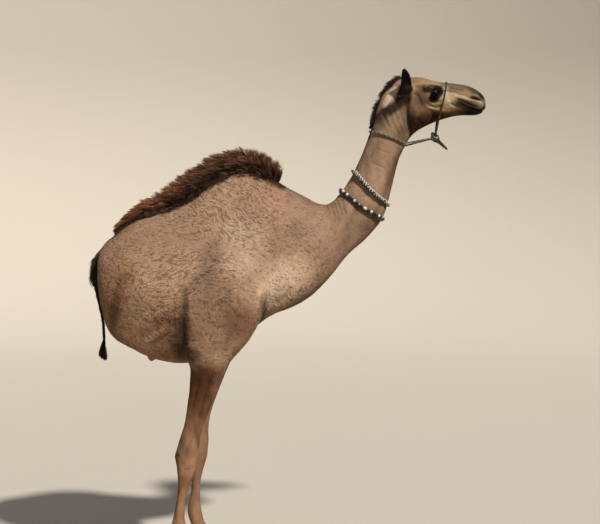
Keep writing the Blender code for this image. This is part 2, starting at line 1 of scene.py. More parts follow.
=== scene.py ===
"""Looks of the life-size camel figure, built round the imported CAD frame.

The camel faces +X, its left side is +Y, and heights count from the base's underside. One skin takes
the place of the flesh: the CAD solids are joined, smoothed, sunk by the coat's depth, sculpted and
thinned. The coat is short flat tufts over it, and the crest, nape and tail carry long strands.
All sizes are in metres. Side views of both flanks share one (x, z) outline, so most forms and
markings are given once, as (x, z), and hold for the left and the right side alike.
"""

import math
from typing import NamedTuple

import bmesh
import bpy
import numpy as np
from mathutils import Matrix, Vector
from mathutils.bvhtree import BVHTree

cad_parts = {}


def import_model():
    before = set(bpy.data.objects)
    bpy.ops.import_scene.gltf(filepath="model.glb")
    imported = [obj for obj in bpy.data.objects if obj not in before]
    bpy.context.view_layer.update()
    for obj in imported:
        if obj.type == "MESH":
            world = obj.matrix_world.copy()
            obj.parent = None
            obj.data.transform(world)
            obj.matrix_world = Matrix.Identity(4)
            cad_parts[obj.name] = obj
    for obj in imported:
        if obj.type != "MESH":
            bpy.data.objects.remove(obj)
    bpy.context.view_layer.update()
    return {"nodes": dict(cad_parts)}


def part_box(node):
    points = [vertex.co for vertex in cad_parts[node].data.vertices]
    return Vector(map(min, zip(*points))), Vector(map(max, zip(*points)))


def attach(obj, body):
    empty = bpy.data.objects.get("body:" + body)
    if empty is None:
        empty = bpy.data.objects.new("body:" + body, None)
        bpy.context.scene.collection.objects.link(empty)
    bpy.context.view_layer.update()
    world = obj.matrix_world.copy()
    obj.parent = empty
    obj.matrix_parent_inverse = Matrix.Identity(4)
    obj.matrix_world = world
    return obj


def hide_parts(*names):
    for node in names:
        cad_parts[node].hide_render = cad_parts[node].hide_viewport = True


RANDOM_SEED = 41

# ---------------------------------------------------------------- camera, light, floor
CAMERA_PLACE = (0.436, -5.2, 1.743)
CAMERA_PITCH = 1.92  # degrees below the horizon
CAMERA_LENS = 60.84
SUN_WAY = Vector((0.43, -0.51, 0.75))  # from the camel to the key light
SUN_STRENGTH = 4.5
SUN_SOFTNESS = 3.5  # degrees
SKY_COLOUR = (0.80, 0.88, 1.0, 1.0)
SKY_STRENGTH = 0.27
FLOOR_RADIUS = 9.0
FLOOR_COLOUR = (0.49, 0.44, 0.37)

# ---------------------------------------------------------------- flesh
TRUNK_NODES = ["trunk", "hump", "neck_lower", "neck_upper", "head"]
LIMB_NODES = [f"{part}_{side}" for part in ("forearm", "cannon", "foot") for side in ("left", "right")]
EAR_NODES = ["ear_left", "ear_right"]
CUT_REACH = 0.0008  # the thin cuts between the CAD's nodes are closed over this
COARSE_VOXEL = 0.009
FINE_VOXEL = 0.0035
SKIN_TRIANGLES = 184000

EYE_RADIUS = 0.0195
EYE_SINK = 0.0015
GAZE = Vector((0.30, 1.0, 0.06)).normalized()  # of the left eye
EYE_TILT = -16.0  # degrees, the front corner lies lower


# ---------------------------------------------------------------- colours (linear)
TAN = (0.405, 0.250, 0.155)
PINK = (0.450, 0.262, 0.178)
BROWN = (0.265, 0.150, 0.085)
RED_BROWN = (0.290, 0.128, 0.060)
WOOL_GREY = (0.250, 0.158, 0.105)
FACE_TAN = (0.345, 0.214, 0.115)
DEEP_BROWN = (0.130, 0.066, 0.034)
BLACK_BROWN = (0.022, 0.014, 0.009)
CREST_BROWN = (0.140, 0.060, 0.031)
CREST_RED = (0.250, 0.094, 0.042)


# ---------------------------------------------------------------- small tools
def smoothstep(low, high, value):
    t = np.clip((value - low) / (high - low), 0.0, 1.0)
    return t * t * (3 - 2 * t)


def unit(vectors):
    return vectors / np.maximum(np.linalg.norm(vectors, axis=-1, keepdims=True), 1e-12)


def noise(points, size, seed):
    """Smooth random values in -1..1 at points, whose features are about size across."""
    place = points / size + seed * 7.31
    cell = np.floor(place).astype(np.int64)
    part = place - cell
    part = part * part * (3 - 2 * part)
    total = np.zeros(len(points))
    for corner in np.ndindex(2, 2, 2):
        key = cell + np.array(corner)
        mixed = (key[:, 0] * 73856093) ^ (key[:, 1] * 19349663) ^ (key[:, 2] * 83492791) ^ (seed * 2654435)
        mixed = (mixed ^ (mixed >> 13)) * 1274126177
        value = ((mixed ^ (mixed >> 16)) & 0xFFFF) / 32767.5 - 1.0
        share = np.ones(len(points))
        for axis in range(3):
            share = share * (part[:, axis] if corner[axis] else 1 - part[:, axis])
        total += value * share
    return total


def layered_noise(points, size, seed):
    """Three layers of noise, each half as wide and half as strong as the one before."""
    layers = [noise(points, size / 2**k, seed + k) / 2**k for k in range(3)]
    return sum(layers) / 1.75


def along_path(points, path):
    """Distance from each point to a path, and where along it (0 to 1) the nearest place lies."""
    path = np.asarray(path, float)
    spans = np.linalg.norm(np.diff(path, axis=0), axis=1)
    starts = np.concatenate([[0.0], np.cumsum(spans)])
    best = np.full(len(points), 1e9)
    where = np.zeros(len(points))
    for start, stop, begun, span in zip(path, path[1:], starts, spans):
        way = (stop - start) / span
        reach = np.clip((points - start) @ way, 0, span)
        distance = np.linalg.norm(points - (start + reach[:, None] * way), axis=1)
        nearer = distance < best
        best = np.where(nearer, distance, best)
        where = np.where(nearer, (begun + reach) / starts[-1], where)
    return best, where


def smooth_path(knots, steps):
    """Catmull-Rom curve through points, sampled evenly between each two."""
    knots = np.asarray(knots, float)
    padded = np.vstack([2 * knots[0] - knots[1], knots, 2 * knots[-1] - knots[-2]])
    t = np.linspace(0, 1, steps, endpoint=False)[:, None]
    rows = []
    for a, b, c, d in zip(padded, padded[1:], padded[2:], padded[3:]):
        rows.append(
            0.5 * (2 * b + (c - a) * t + (2 * a - 5 * b + 4 * c - d) * t**2 + (3 * b - a - 3 * c + d) * t**3)
        )
    rows.append(knots[-1:])
    return np.vstack(rows)


def read_at(want, places, values):
    """Rows of values that belong to places, read at the wanted ones between them."""
    return np.stack([np.interp(want, places, column) for column in np.transpose(values)], 1)


def reach_along(path):
    """How far along a path each of its points lies."""
    return np.concatenate([[0], np.cumsum(np.linalg.norm(np.diff(path, axis=0), axis=1))])


def ways_along(path, closed=False):
    """The way a path runs at each of its points."""
    return unit(np.roll(path, -1, 0) - np.roll(path, 1, 0) if closed else np.gradient(path, axis=0))


def named(part, side):
    """A piece's name on the left (side 1) or on the right (side -1)."""
    return f"{part}_left" if side > 0 else f"{part}_right"


def moved(points, matrix):
    return points @ matrix[:3, :3].T + matrix[:3, 3]


def side_view(points):
    return points[:, [0, 2]]


# ---------------------------------------------------------------- meshes
def link(obj):
    bpy.context.scene.collection.objects.link(obj)
    return obj


def add_object(name, mesh):
    return link(bpy.data.objects.new(name, mesh))


def editable(*meshes):
    """Meshes together as one bmesh."""
    bm = bmesh.new()
    for mesh in meshes:
        bm.from_mesh(mesh)
    return bm


def mesh_from(bm, name):
    mesh = bpy.data.meshes.new(name)
    bm.to_mesh(mesh)
    bm.free()
    return mesh


def ball(name, radius, middle=(0, 0, 0), segments=40, rings=24):
    bm = bmesh.new()
    place = Matrix.Translation(middle)
    bmesh.ops.create_uvsphere(bm, u_segments=segments, v_segments=rings, radius=radius, matrix=place)
    return add_object(name, mesh_from(bm, name))


def apply_modifiers(obj):
    graph = bpy.context.evaluated_depsgraph_get()
    mesh = bpy.data.meshes.new_from_object(obj.evaluated_get(graph))
    obj.modifiers.clear()
    obj.data = mesh
    return obj


def mesh_object(name, points, *blocks):
    """A smooth mesh from arrays. The faces of a block all have as many corners."""
    mesh = bpy.data.meshes.new(name)
    mesh.vertices.add(len(points))
    mesh.vertices.foreach_set("co", np.asarray(points, np.float32).ravel())
    corners = np.concatenate([block.ravel() for block in blocks]).astype(np.int32)
    totals = np.concatenate([np.full(len(block), block.shape[1]) for block in blocks])
    mesh.loops.add(len(corners))
    mesh.loops.foreach_set("vertex_index", corners)
    mesh.polygons.add(len(totals))
    mesh.polygons.foreach_set("loop_start", np.concatenate([[0], np.cumsum(totals)[:-1]]).astype(np.int32))
    mesh.polygons.foreach_set("loop_total", totals.astype(np.int32))
    shade_smooth(mesh)
    mesh.update(calc_edges=True)
    return add_object(name, mesh)


def shade_smooth(mesh):
    mesh.polygons.foreach_set("use_smooth", np.ones(len(mesh.polygons), bool))


def ring_quads(rows, ring, closed=False):
    """Faces that join each ring of points to the next, and the last to the first where closed."""
    row = np.arange(rows if closed else rows - 1)[:, None]
    k = np.arange(ring)[None, :]
    here = row * ring
    after = (row + 1) % rows * ring
    return np.stack([here + k, here + (k + 1) % ring, after + (k + 1) % ring, after + k], -1).reshape(-1, 4)


def end_caps(rows, ring):
    return np.array([np.arange(ring)[::-1], np.arange(ring) + (rows - 1) * ring])


def read(elements, key, width, kind=np.float32):
    """One property of a mesh's elements, a row for each."""
    values = np.empty(len(elements) * width, kind)
    elements.foreach_get(key, values)
    return values.reshape(-1, width)


def read_points(obj):
    return read(obj.data.vertices, "co", 3).astype(float)


def write_points(obj, points):
    obj.data.vertices.foreach_set("co", np.asarray(points, np.float32).ravel())
    obj.data.update()


def read_normals(obj):
    return read(obj.data.vertex_normals, "vector", 3).astype(float)


def voxel_remesh(obj, size):
    remesh = obj.modifiers.new("remesh", "REMESH")
    remesh.mode = "VOXEL"
    remesh.voxel_size = size
    return apply_modifiers(obj)


def read_triangles(obj):
    obj.data.calc_loop_triangles()
    return read(obj.data.loop_triangles, "vertices", 3, np.int32)


def surface_of(obj):
    """The points, triangles and normals of an object."""
    return read_points(obj), read_triangles(obj), read_normals(obj)


class Relaxer:
    """Averages values over the neighbours of each vertex."""

    def __init__(self, obj):
        self.edges = read(obj.data.edges, "vertices", 2, np.int32)
        self.count = len(obj.data.vertices)
        self.degree = np.maximum(np.bincount(self.edges.ravel(), minlength=self.count), 1)

    def mean(self, values):
        a, b = self.edges.T
        total = np.bincount(a, values[b], self.count) + np.bincount(b, values[a], self.count)
        return total / self.degree

    def relax(self, values, weight, rounds):
        """Moves values towards their neighbours' mean, weight of the way each round."""
        columns = values.reshape(self.count, -1).T.copy()
        for _ in range(rounds):
            for column in columns:
                column += weight * (self.mean(column) - column)
        return columns.T.reshape(values.shape)


# ---------------------------------------------------------------- skin: from the solids
def without_cuts(name, nodes, trees):
    """A node's faces, less those that look at another node across a thin cut."""
    bm = editable(nodes[name].data)
    bmesh.ops.remove_doubles(bm, verts=bm.verts, dist=1e-5)
    bm.normal_update()
    cut = []
    for face in bm.faces:
        middle = face.calc_center_median()
        for other, tree in trees.items():
            place, normal, _, _ = tree.find_nearest(middle, CUT_REACH)
            if other != name and place is not None and normal.dot(face.normal) < -0.9:
                cut.append(face)
                break
    bmesh.ops.delete(bm, geom=cut, context="FACES")
    return mesh_from(bm, name)


def flesh_tree(node):
    bm = editable(node.data)
    tree = BVHTree.FromBMesh(bm)
    bm.free()
    return tree


def join_flesh(nodes):
    """The CAD's flesh as one closed shell, its thin cuts closed."""
    names = TRUNK_NODES + LIMB_NODES
    trees = {name: flesh_tree(nodes[name]) for name in names}
    whole = editable(*(without_cuts(name, nodes, trees) for name in names))
    bmesh.ops.remove_doubles(whole, verts=whole.verts, dist=CUT_REACH + 1e-4)
    bmesh.ops.holes_fill(whole, edges=[e for e in whole.edges if e.is_boundary], sides=0)
    bmesh.ops.recalc_face_normals(whole, faces=whole.faces)
    return add_object("shell", mesh_from(whole, "shell"))


def on_head(points):
    """1 on the head, falling to 0 down the upper neck."""
    return smoothstep(0.86, 0.96, points[:, 0] * 0.92 + (points[:, 2] - 2.34) * 0.39)


def on_limbs(points):
    """1 on the legs below the elbow, 0 on the trunk."""
    return smoothstep(1.12, 1.0, points[:, 2])


def coat_depth(points):
    """How far the skin lies inside the solids."""
    depth = 0.009 - 0.004 * on_head(points) - 0.004 * on_limbs(points)
    return depth - 0.001 * smoothstep(0.3, 0.15, points[:, 2])


def smooth_flesh(shell):
    """The shell remeshed, freed of its facets, and sunk by the coat's depth."""
    body = voxel_remesh(add_object("body", shell.data.copy()), COARSE_VOXEL)
    tree = flesh_tree(shell)
    points = read_points(body)
    relaxer = Relaxer(body)
    ease = 0.62 - 0.30 * on_head(points) - 0.22 * on_limbs(points)
    points = relaxer.relax(points, ease, 16)
    for _ in range(2):
        write_points(body, points)
        normals = read_normals(body)
        sunk = np.array([signed_distance(tree, p) for p in points]) + coat_depth(points)
        sunk = relaxer.relax(sunk, 0.6, 10)
        points = points - normals * sunk[:, None]
    write_points(body, relaxer.relax(points, 0.4, 2))
    return body


def signed_distance(tree, point):
    place, normal, _, distance = tree.find_nearest(point)
    return math.copysign(distance, (Vector(point) - place).dot(normal))


# ---------------------------------------------------------------- skin: ears, lids
def eye_middle(side):
    low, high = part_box(named("eye", side))
    return (low + high) / 2 - Vector((0, side * EYE_SINK, 0))


def eye_axes(side):
    """Outward, forward and up of an eye, as it sits in the head."""
    out = Vector((GAZE.x, side * GAZE.y, GAZE.z))
    forward = Vector((1, 0, 0))
    forward = (forward - out * forward.dot(out)).normalized()
    up = forward.cross(out) * (1 if side < 0 else -1)
    tilt = Matrix.Rotation(math.radians(-side * EYE_TILT), 3, out)
    return out, tilt @ forward, tilt @ up


def almond(angle, length=0.0185, above=0.0120, below=0.0085):
    """The outline of the open eye: along it, and up."""
    c, s = math.cos(angle), math.sin(angle)
    return length * c, (above if s > 0 else below) * s * (1 - 0.28 * c * c)


def tube(name, path, radii, ring, closed=False, up=(0.0, 0.0, 1.0)):
    """A round tube along a path, its radius given at each point."""
    path = np.asarray(path, float)
    radii = np.broadcast_to(radii, len(path))
    along = ways_along(path, closed)
    side = np.cross(along, up)
    side = unit(np.where(np.linalg.norm(side, axis=1)[:, None] < 1e-3, (1.0, 0.0, 0.0), side))
    rise = np.cross(side, along)
    turn = np.linspace(0, math.tau, ring, endpoint=False)
    offset = side[:, None] * np.cos(turn)[None, :, None] + rise[:, None] * np.sin(turn)[None, :, None]
    points = (path[:, None] + offset * radii[:, None, None]).reshape(-1, 3)
    ends = [] if closed else [end_caps(len(path), ring)]
    return mesh_object(name, points, ring_quads(len(path), ring, closed), *ends)


def lid_forms(side):
    """The skin that wraps the eyeball, with a thick upper and a thinner lower lid."""
    middle = eye_middle(side)
    out, forward, up = eye_axes(side)
    path, radii = [], []
    for angle in np.linspace(0, math.tau, 48, endpoint=False):
        along, rise = almond(angle, 0.0215, 0.0150, 0.0112)
        way = (out * 0.020 + forward * along + up * rise).normalized()
        path.append(middle + way * (EYE_RADIUS + 0.0020))
        radii.append(0.0042 if math.sin(angle) > 0 else 0.0030)
    rim = tube("lid_rim", path, radii, ring=10, closed=True)
    return [ball("lid_ball", EYE_RADIUS + 0.0028, middle, 32, 20), rim]


def opening(side):
    """The solid that cuts the eye's opening between the lids."""
    middle = eye_middle(side)
    out, forward, up = eye_axes(side)
    count = 40
    points = []
    for reach in (0.35, 1.0, 2.0):
        for angle in np.linspace(0, math.tau, count, endpoint=False):
            along, rise = almond(angle)
            points.append(middle + (out * 0.0195 + forward * along + up * rise) * reach)
    return mesh_object("opening", points, ring_quads(3, count), end_caps(3, count))


def face_outward(obj):
    bm = editable(obj.data)
    bmesh.ops.recalc_face_normals(bm, faces=bm.faces)
    bm.to_mesh(obj.data)
    bm.free()


EAR_LENGTH = 0.140
EAR_ROOT = (0.962, 0.074, 2.408)
EAR_TURNS = {"lean": -4, "spread": 17, "turn": 66}  # degrees: backward, outward, from facing forward


def ear_frame(side):
    """From the ear's own axes (opening, across, up) to the world."""
    turn = (
        Matrix.Rotation(math.radians(EAR_TURNS["lean"] - (5 if side > 0 else 0)), 4, "Y")
        @ Matrix.Rotation(math.radians(-side * EAR_TURNS["spread"]), 4, "X")
        @ Matrix.Rotation(math.radians(side * EAR_TURNS["turn"]), 4, "Z")
    )
    x, y, z = EAR_ROOT
    return np.array(Matrix.Translation((x, side * y, z)) @ turn)


def ear_section(t, side, angle, inner):
    """A point of the ear at height t: on its back (inner 0) or on its hollow front (inner 1)."""
    half = 0.0315 * np.sin(math.pi * (0.24 + 0.757 * t)) ** 0.50
    bow = 0.013 * np.sin(math.pi * t)
    across = np.sin(angle)
    depth = 0.0155 * np.sin(math.pi * np.minimum(1.0, t + 0.12)) * (1 - across * across)
    thick = 0.0022 * (1 - 0.45 * t) * np.sqrt(np.maximum(0.0, 1 - across**4)) + 0.0025
    x = -depth + (thick if inner else -thick)
    return np.stack([x, half * across - side * bow, EAR_LENGTH * 0.965 * t + 0 * across], -1)


def ear_form(side):
    """A leaf-shaped cup with a thin rim."""
    rows, ring = 34, 20
    angles = np.linspace(-math.pi / 2, math.pi / 2, ring)
    rings = []
    for t in np.linspace(0, 1, rows):
        rings.append(ear_section(t, side, angles, inner=False))
        rings.append(ear_section(t, side, angles[::-1], inner=True))
    points = moved(np.vstack(rings), ear_frame(side))
    form = mesh_object("ear_form", points, ring_quads(rows, 2 * ring), end_caps(rows, 2 * ring))
    face_outward(form)
    return form


def fused_skin(body):
    """The smoothed flesh with ears and lids, melted into one fine surface."""
    rounder = body.modifiers.new("rounder", "SUBSURF")
    rounder.levels = rounder.render_levels = 1
    apply_modifiers(body)
    forms = [body]
    for side in (-1, 1):
        forms += [ear_form(side), *lid_forms(side)]
    skin = add_object("skin", mesh_from(editable(*(form.data for form in forms)), "skin"))
    for form in forms:
        bpy.data.objects.remove(form)
    voxel_remesh(skin, FINE_VOXEL)
    write_points(skin, Relaxer(skin).relax(read_points(skin), 0.5, 3))
    return skin


# ---------------------------------------------------------------- skin: sculpted forms
LEFT_LEG_LEAD = 0.045  # the left foot stands this far ahead of the right one


class Stroke(NamedTuple):
    """A fold or ridge along a path in the side view."""

    width: float
    depth: float  # of a fold, and below 0 for a ridge
    path: list
    tone: float = None  # how much painted shade darkens the fold, or painted highlight lightens the ridge
    fade: float = 0.18  # the share of its length over which each end fades out
    wrap: bool = False  # it goes round the front of the muzzle


FACE_STROKES = [
    # mouth, and the fold above its corner
    Stroke(0.0032, 0.0090, [(1.236, 2.379), (1.252, 2.370), (1.275, 2.359), (1.303, 2.347),
        (1.335, 2.341), (1.400, 2.343)], wrap=True),
    Stroke(0.0042, 0.0050, [(1.218, 2.394), (1.262, 2.386), (1.298, 2.368), (1.345, 2.356)], tone=0.60),
    Stroke(0.0060, 0.0040, [(1.180, 2.375), (1.212, 2.366), (1.236, 2.352)]),
    # nostril: its slit, the rim above and below it, the crease behind it
    Stroke(0.0038, 0.0120, [(1.296, 2.401), (1.318, 2.402), (1.338, 2.395), (1.356, 2.386)]),
    Stroke(0.0040, -0.0040, [(1.306, 2.417), (1.330, 2.411), (1.352, 2.399), (1.368, 2.388)]),
    Stroke(0.0055, -0.0035, [(1.300, 2.392), (1.325, 2.388), (1.350, 2.378)]),
    Stroke(0.0035, 0.0040, [(1.268, 2.405), (1.284, 2.403), (1.300, 2.401)]),
    Stroke(0.0040, 0.0026, [(1.290, 2.400), (1.300, 2.420), (1.322, 2.436)]),
    # under and over the eye
    Stroke(0.0038, 0.0045, [(1.076, 2.396), (1.092, 2.380), (1.118, 2.374), (1.150, 2.386)]),
    Stroke(0.0045, -0.0040, [(1.090, 2.368), (1.118, 2.364), (1.150, 2.370)]),
    Stroke(0.0045, 0.0040, [(1.066, 2.378), (1.092, 2.358), (1.126, 2.352), (1.160, 2.360)]),
    Stroke(0.0038, 0.0060, [(1.062, 2.440), (1.090, 2.451), (1.124, 2.455), (1.150, 2.448)]),
    Stroke(0.0085, -0.0065, [(1.050, 2.456), (1.090, 2.470), (1.140, 2.466), (1.168, 2.452)]),
    # the ridges from the eye to the lip
    Stroke(0.0055, 0.0040, [(1.150, 2.432), (1.185, 2.436), (1.240, 2.428)], tone=0.50),
    Stroke(0.0075, -0.0045, [(1.205, 2.412), (1.264, 2.402), (1.320, 2.384), (1.370, 2.368)], tone=0.90),
    Stroke(0.0050, 0.0030, [(1.185, 2.452), (1.225, 2.446), (1.272, 2.438)], tone=0.50),
    Stroke(0.0100, -0.0035, [(1.168, 2.420), (1.176, 2.390), (1.200, 2.362)]),
    # cheekbone, jaw muscle and the jaw's edge
    Stroke(0.0090, -0.0060, [(1.050, 2.362), (1.098, 2.346), (1.155, 2.334), (1.210, 2.332)]),
    Stroke(0.0110, 0.0065, [(1.100, 2.324), (1.150, 2.310), (1.215, 2.316)]),
    Stroke(0.0080, 0.0038, [(1.098, 2.345), (1.106, 2.312), (1.094, 2.265)]),
    Stroke(0.0085, 0.0050, [(1.020, 2.420), (1.038, 2.390), (1.052, 2.352)]),
    Stroke(0.0060, 0.0040, [(1.010, 2.405), (1.022, 2.432), (1.044, 2.445)]),
    Stroke(0.0100, 0.0085, [(0.990, 2.405), (0.978, 2.345), (0.980, 2.285), (1.000, 2.232)]),
    Stroke(0.0100, 0.0040, [(1.020, 2.300), (1.050, 2.270), (1.090, 2.262)]),
    Stroke(0.0060, 0.0030, [(1.232, 2.335), (1.270, 2.330), (1.310, 2.318)]),
    Stroke(0.0120, 0.0060, [(1.010, 2.455), (1.040, 2.450), (1.066, 2.440)]),
]
NECK_STROKES = [
    Stroke(0.0065, 0.0024, [(0.932, 2.378), (0.948, 2.322), (0.966, 2.266), (0.990, 2.212)], tone=0.42),
    Stroke(0.0065, 0.0022, [(0.905, 2.362), (0.924, 2.306), (0.946, 2.255), (0.972, 2.204)], tone=0.38),
    Stroke(0.0065, 0.0020, [(0.878, 2.350), (0.899, 2.296), (0.922, 2.248), (0.948, 2.204)], tone=0.30),
    Stroke(0.0070, 0.0035, [(0.852, 2.330), (0.871, 2.286), (0.896, 2.242)]),
    Stroke(0.0130, 0.0045, [(0.955, 2.150), (0.915, 2.060), (0.882, 1.960), (0.842, 1.860),
        (0.790, 1.770)]),
    Stroke(0.0060, 0.0018, [(0.815, 2.150), (0.850, 2.135), (0.900, 2.118)]),
    Stroke(0.0060, 0.0016, [(0.790, 2.080), (0.830, 2.060), (0.870, 2.045)]),
    Stroke(0.0160, 0.0040, [(0.740, 1.880), (0.705, 1.800), (0.660, 1.720)]),
    *(
        Stroke(0.0065, 0.0028, [(0.566 + 0.020 * k, 1.878 + 0.006 * k), (0.578 + 0.020 * k, 1.846),
        (0.594 + 0.020 * k, 1.800)])
        for k in range(5)
    ),
]
BODY_STROKES = [
    Stroke(0.0160, 0.0060, [(-0.112, 1.470), (-0.118, 1.385), (-0.126, 1.285), (-0.134, 1.200),
        (-0.146, 1.085)], tone=0.22, fade=0.35),
    Stroke(0.0360, 0.0250, [(-0.112, 1.520), (-0.126, 1.370), (-0.137, 1.235),
        (-0.147, 1.030)], tone=0.30, fade=0.55),
    Stroke(0.0090, 0.0050, [(-0.165, 1.400), (-0.170, 1.330), (-0.178, 1.250)]),
    Stroke(0.0110, 0.0070, [(0.272, 1.445), (0.258, 1.395), (0.250, 1.335),
        (0.230, 1.270)], tone=0.45, fade=0.35),
    Stroke(0.0110, -0.0045, [(0.246, 1.440), (0.234, 1.390), (0.228, 1.335)]),
    Stroke(0.0200, 0.0045, [(-0.110, 1.455), (-0.060, 1.505), (0.010, 1.520)]),
    Stroke(0.0200, 0.0070, [(0.120, 1.290), (0.100, 1.240), (0.068, 1.160),
        (0.030, 1.060)], tone=0.20, fade=0.50),
    Stroke(0.0240, 0.0050, [(0.060, 1.420), (0.085, 1.330), (0.075, 1.240)], tone=0.12, fade=0.50),
    Stroke(0.0150, -0.0065, [(-0.370, 1.180), (-0.300, 1.205), (-0.255, 1.236),
        (-0.190, 1.272)], tone=0.90, fade=0.45),
    Stroke(0.0130, 0.0060, [(-0.355, 1.160), (-0.290, 1.184), (-0.245, 1.212),
        (-0.185, 1.245)], tone=0.45, fade=0.45),
    Stroke(0.0055, 0.0042, [(-0.190, 1.716), (-0.130, 1.711), (-0.050, 1.722)]),
    Stroke(0.0060, 0.0025, [(-0.150, 1.690), (-0.090, 1.684), (-0.020, 1.694)]),
    Stroke(0.0230, -0.0040, [(0.085, 1.290), (0.130, 1.450), (0.190, 1.640)]),
    Stroke(0.0130, 0.0030, [(0.310, 1.360), (0.355, 1.400), (0.400, 1.460)]),
    Stroke(0.0130, 0.0025, [(0.360, 1.335), (0.410, 1.385), (0.450, 1.450)]),
]
LEG_STROKES = [
    Stroke(0.0085, 0.0045, [(0.008, 1.030), (-0.028, 0.930), (-0.054, 0.840), (-0.074, 0.770)]),
    Stroke(0.0085, 0.0040, [(-0.052, 1.030), (-0.078, 0.930), (-0.100, 0.830)]),
    Stroke(0.0110, -0.0030, [(-0.020, 1.000), (-0.050, 0.900), (-0.076, 0.800)]),
    Stroke(0.0055, 0.0045, [(-0.166, 0.480), (-0.180, 0.410), (-0.187, 0.340), (-0.186, 0.265)]),
    Stroke(0.0080, 0.0035, [(-0.105, 0.700), (-0.122, 0.650), (-0.138, 0.600)]),
    Stroke(0.0055, 0.0025, [(-0.085, 0.560), (-0.110, 0.545), (-0.150, 0.548)]),
    Stroke(0.0050, 0.0020, [(-0.150, 0.205), (-0.172, 0.190), (-0.196, 0.195)]),
]
ALL_STROKES = FACE_STROKES + NECK_STROKES + BODY_STROKES + LEG_STROKES


def flank_view(points):
    """The side view, with the left leg moved back to where the right one stands."""
    view = side_view(points).copy()
    share = np.clip((0.84 - points[:, 2]) / 0.5, 0, 1)
    view[:, 0] -= np.where(points[:, 1] > 0, LEFT_LEG_LEAD * share, 0.0)
    return view


def stroke_weight(view, facing, wrap_facing, stroke):
    """1 along a stroke, falling away beside it and at its ends."""
    path = smooth_path(stroke.path, 5)
    reach = 2.4 * stroke.width
    weight = np.zeros(len(view))
    near = np.all((view > path.min(0) - reach) & (view < path.max(0) + reach), axis=1)
    distance, where = along_path(view[near], path)
    ends = smoothstep(0.0, stroke.fade, where)
    if not stroke.wrap:
        ends = ends * smoothstep(1.0, 1 - stroke.fade, where)
    side = (wrap_facing if stroke.wrap else facing)[near]
    weight[near] = np.exp(-((distance / stroke.width) ** 2)) * ends * side
    return weight


def stroke_weights(points, normals, strokes):
    view = flank_view(points)
    outward = normals[:, 1] * np.sign(points[:, 1])
    facing = smoothstep(0.10, 0.45, outward)
    wrap_facing = np.maximum(facing, smoothstep(0.2, 0.6, normals[:, 0]))
    return [stroke_weight(view, facing, wrap_facing, stroke) for stroke in strokes]


def bulge(points, middle, radii):
    """1 at the middle of an ellipsoid on either side of the body, falling to 0 at its edge."""
    away = (points * (1, 0, 1) + (0, 1, 0) * np.abs(points) - np.array(middle)) / np.array(radii)
    return smoothstep(1.0, 0.0, np.linalg.norm(away, axis=1))


def leg_space(points):
    """Points with the left leg moved back beside the right one, and both on the +Y side."""
    folded = points.copy()
    folded[:, 0] = flank_view(points)[:, 0]
    folded[:, 1] = np.abs(folded[:, 1])
    return folded


# Swellings (positive) and hollows on both sides: middle, radii and height.
SWELLINGS = [
    ((-0.078, 0.160, 0.612), (0.030, 0.050, 0.065), 0.004),  # knee pad
    ((-0.185, 0.162, 0.600), (0.028, 0.030, 0.050), 0.004),  # back of the knee
    ((1.366, 0.016, 2.398), (0.026, 0.018, 0.022), 0.003),  # nostril wing
    ((1.045, 0.060, 2.448), (0.030, 0.030, 0.022), -0.005),  # temple
    ((1.190, 0.050, 2.400), (0.045, 0.030, 0.030), -0.004),  # before the eye
    ((1.330, 0.040, 2.335), (0.050, 0.030, 0.020), 0.003),  # lower lip
    ((0.030, 0.000, 1.110), (0.090, 0.070, 0.060), 0.010),  # pad of the brisket
    ((-0.325, 0.000, 1.080), (0.030, 0.026, 0.050), 0.016),  # navel
]
MUSCLE_NOISE = 0.0032
SKIN_NOISE = 0.0012
TOE_CLEFT = {"width": 0.0060, "depth": 0.0120}
LIP_CLEFT = {"width": 0.0030, "depth": 0.0060}


def sculpt(skin):
    """Folds, ridges, muscles and clefts, worked into the fine skin."""
    points = read_points(skin)
    normals = read_normals(skin)
    lift = np.zeros(len(points))
    for stroke, weight in zip(ALL_STROKES, stroke_weights(points, normals, ALL_STROKES)):
        lift -= stroke.depth * weight
    folded = leg_space(points)
    for middle, radii, height in SWELLINGS:
        lift += height * bulge(folded, middle, radii)
    calm = 1 - 0.75 * on_head(points) - 0.55 * on_limbs(points)
    lift += MUSCLE_NOISE * calm * noise(points, 0.13, seed=3)
    lift += SKIN_NOISE * calm * layered_noise(points, 0.035, seed=5)
    lift -= cleft_depth(points)
    points = points + normals * lift[:, None]
    write_points(skin, Relaxer(skin).relax(points, 0.4, 2))


def cleft_depth(points):
    """The cleft between the two toes and the one down the middle of the upper lip."""
    folded = leg_space(points)
    toes = np.exp(-(((folded[:, 1] - 0.170) / TOE_CLEFT["width"]) ** 2))
    toes *= smoothstep(-0.115, -0.070, folded[:, 0]) * smoothstep(0.125, 0.095, points[:, 2])
    toes *= smoothstep(0.041, 0.050, points[:, 2])
    lip = np.exp(-((points[:, 1] / LIP_CLEFT["width"]) ** 2))
    lip *= smoothstep(1.345, 1.365, points[:, 0]) * smoothstep(2.345, 2.355, points[:, 2])
    lip *= smoothstep(2.415, 2.400, points[:, 2])
    return TOE_CLEFT["depth"] * toes + LIP_CLEFT["depth"] * lip


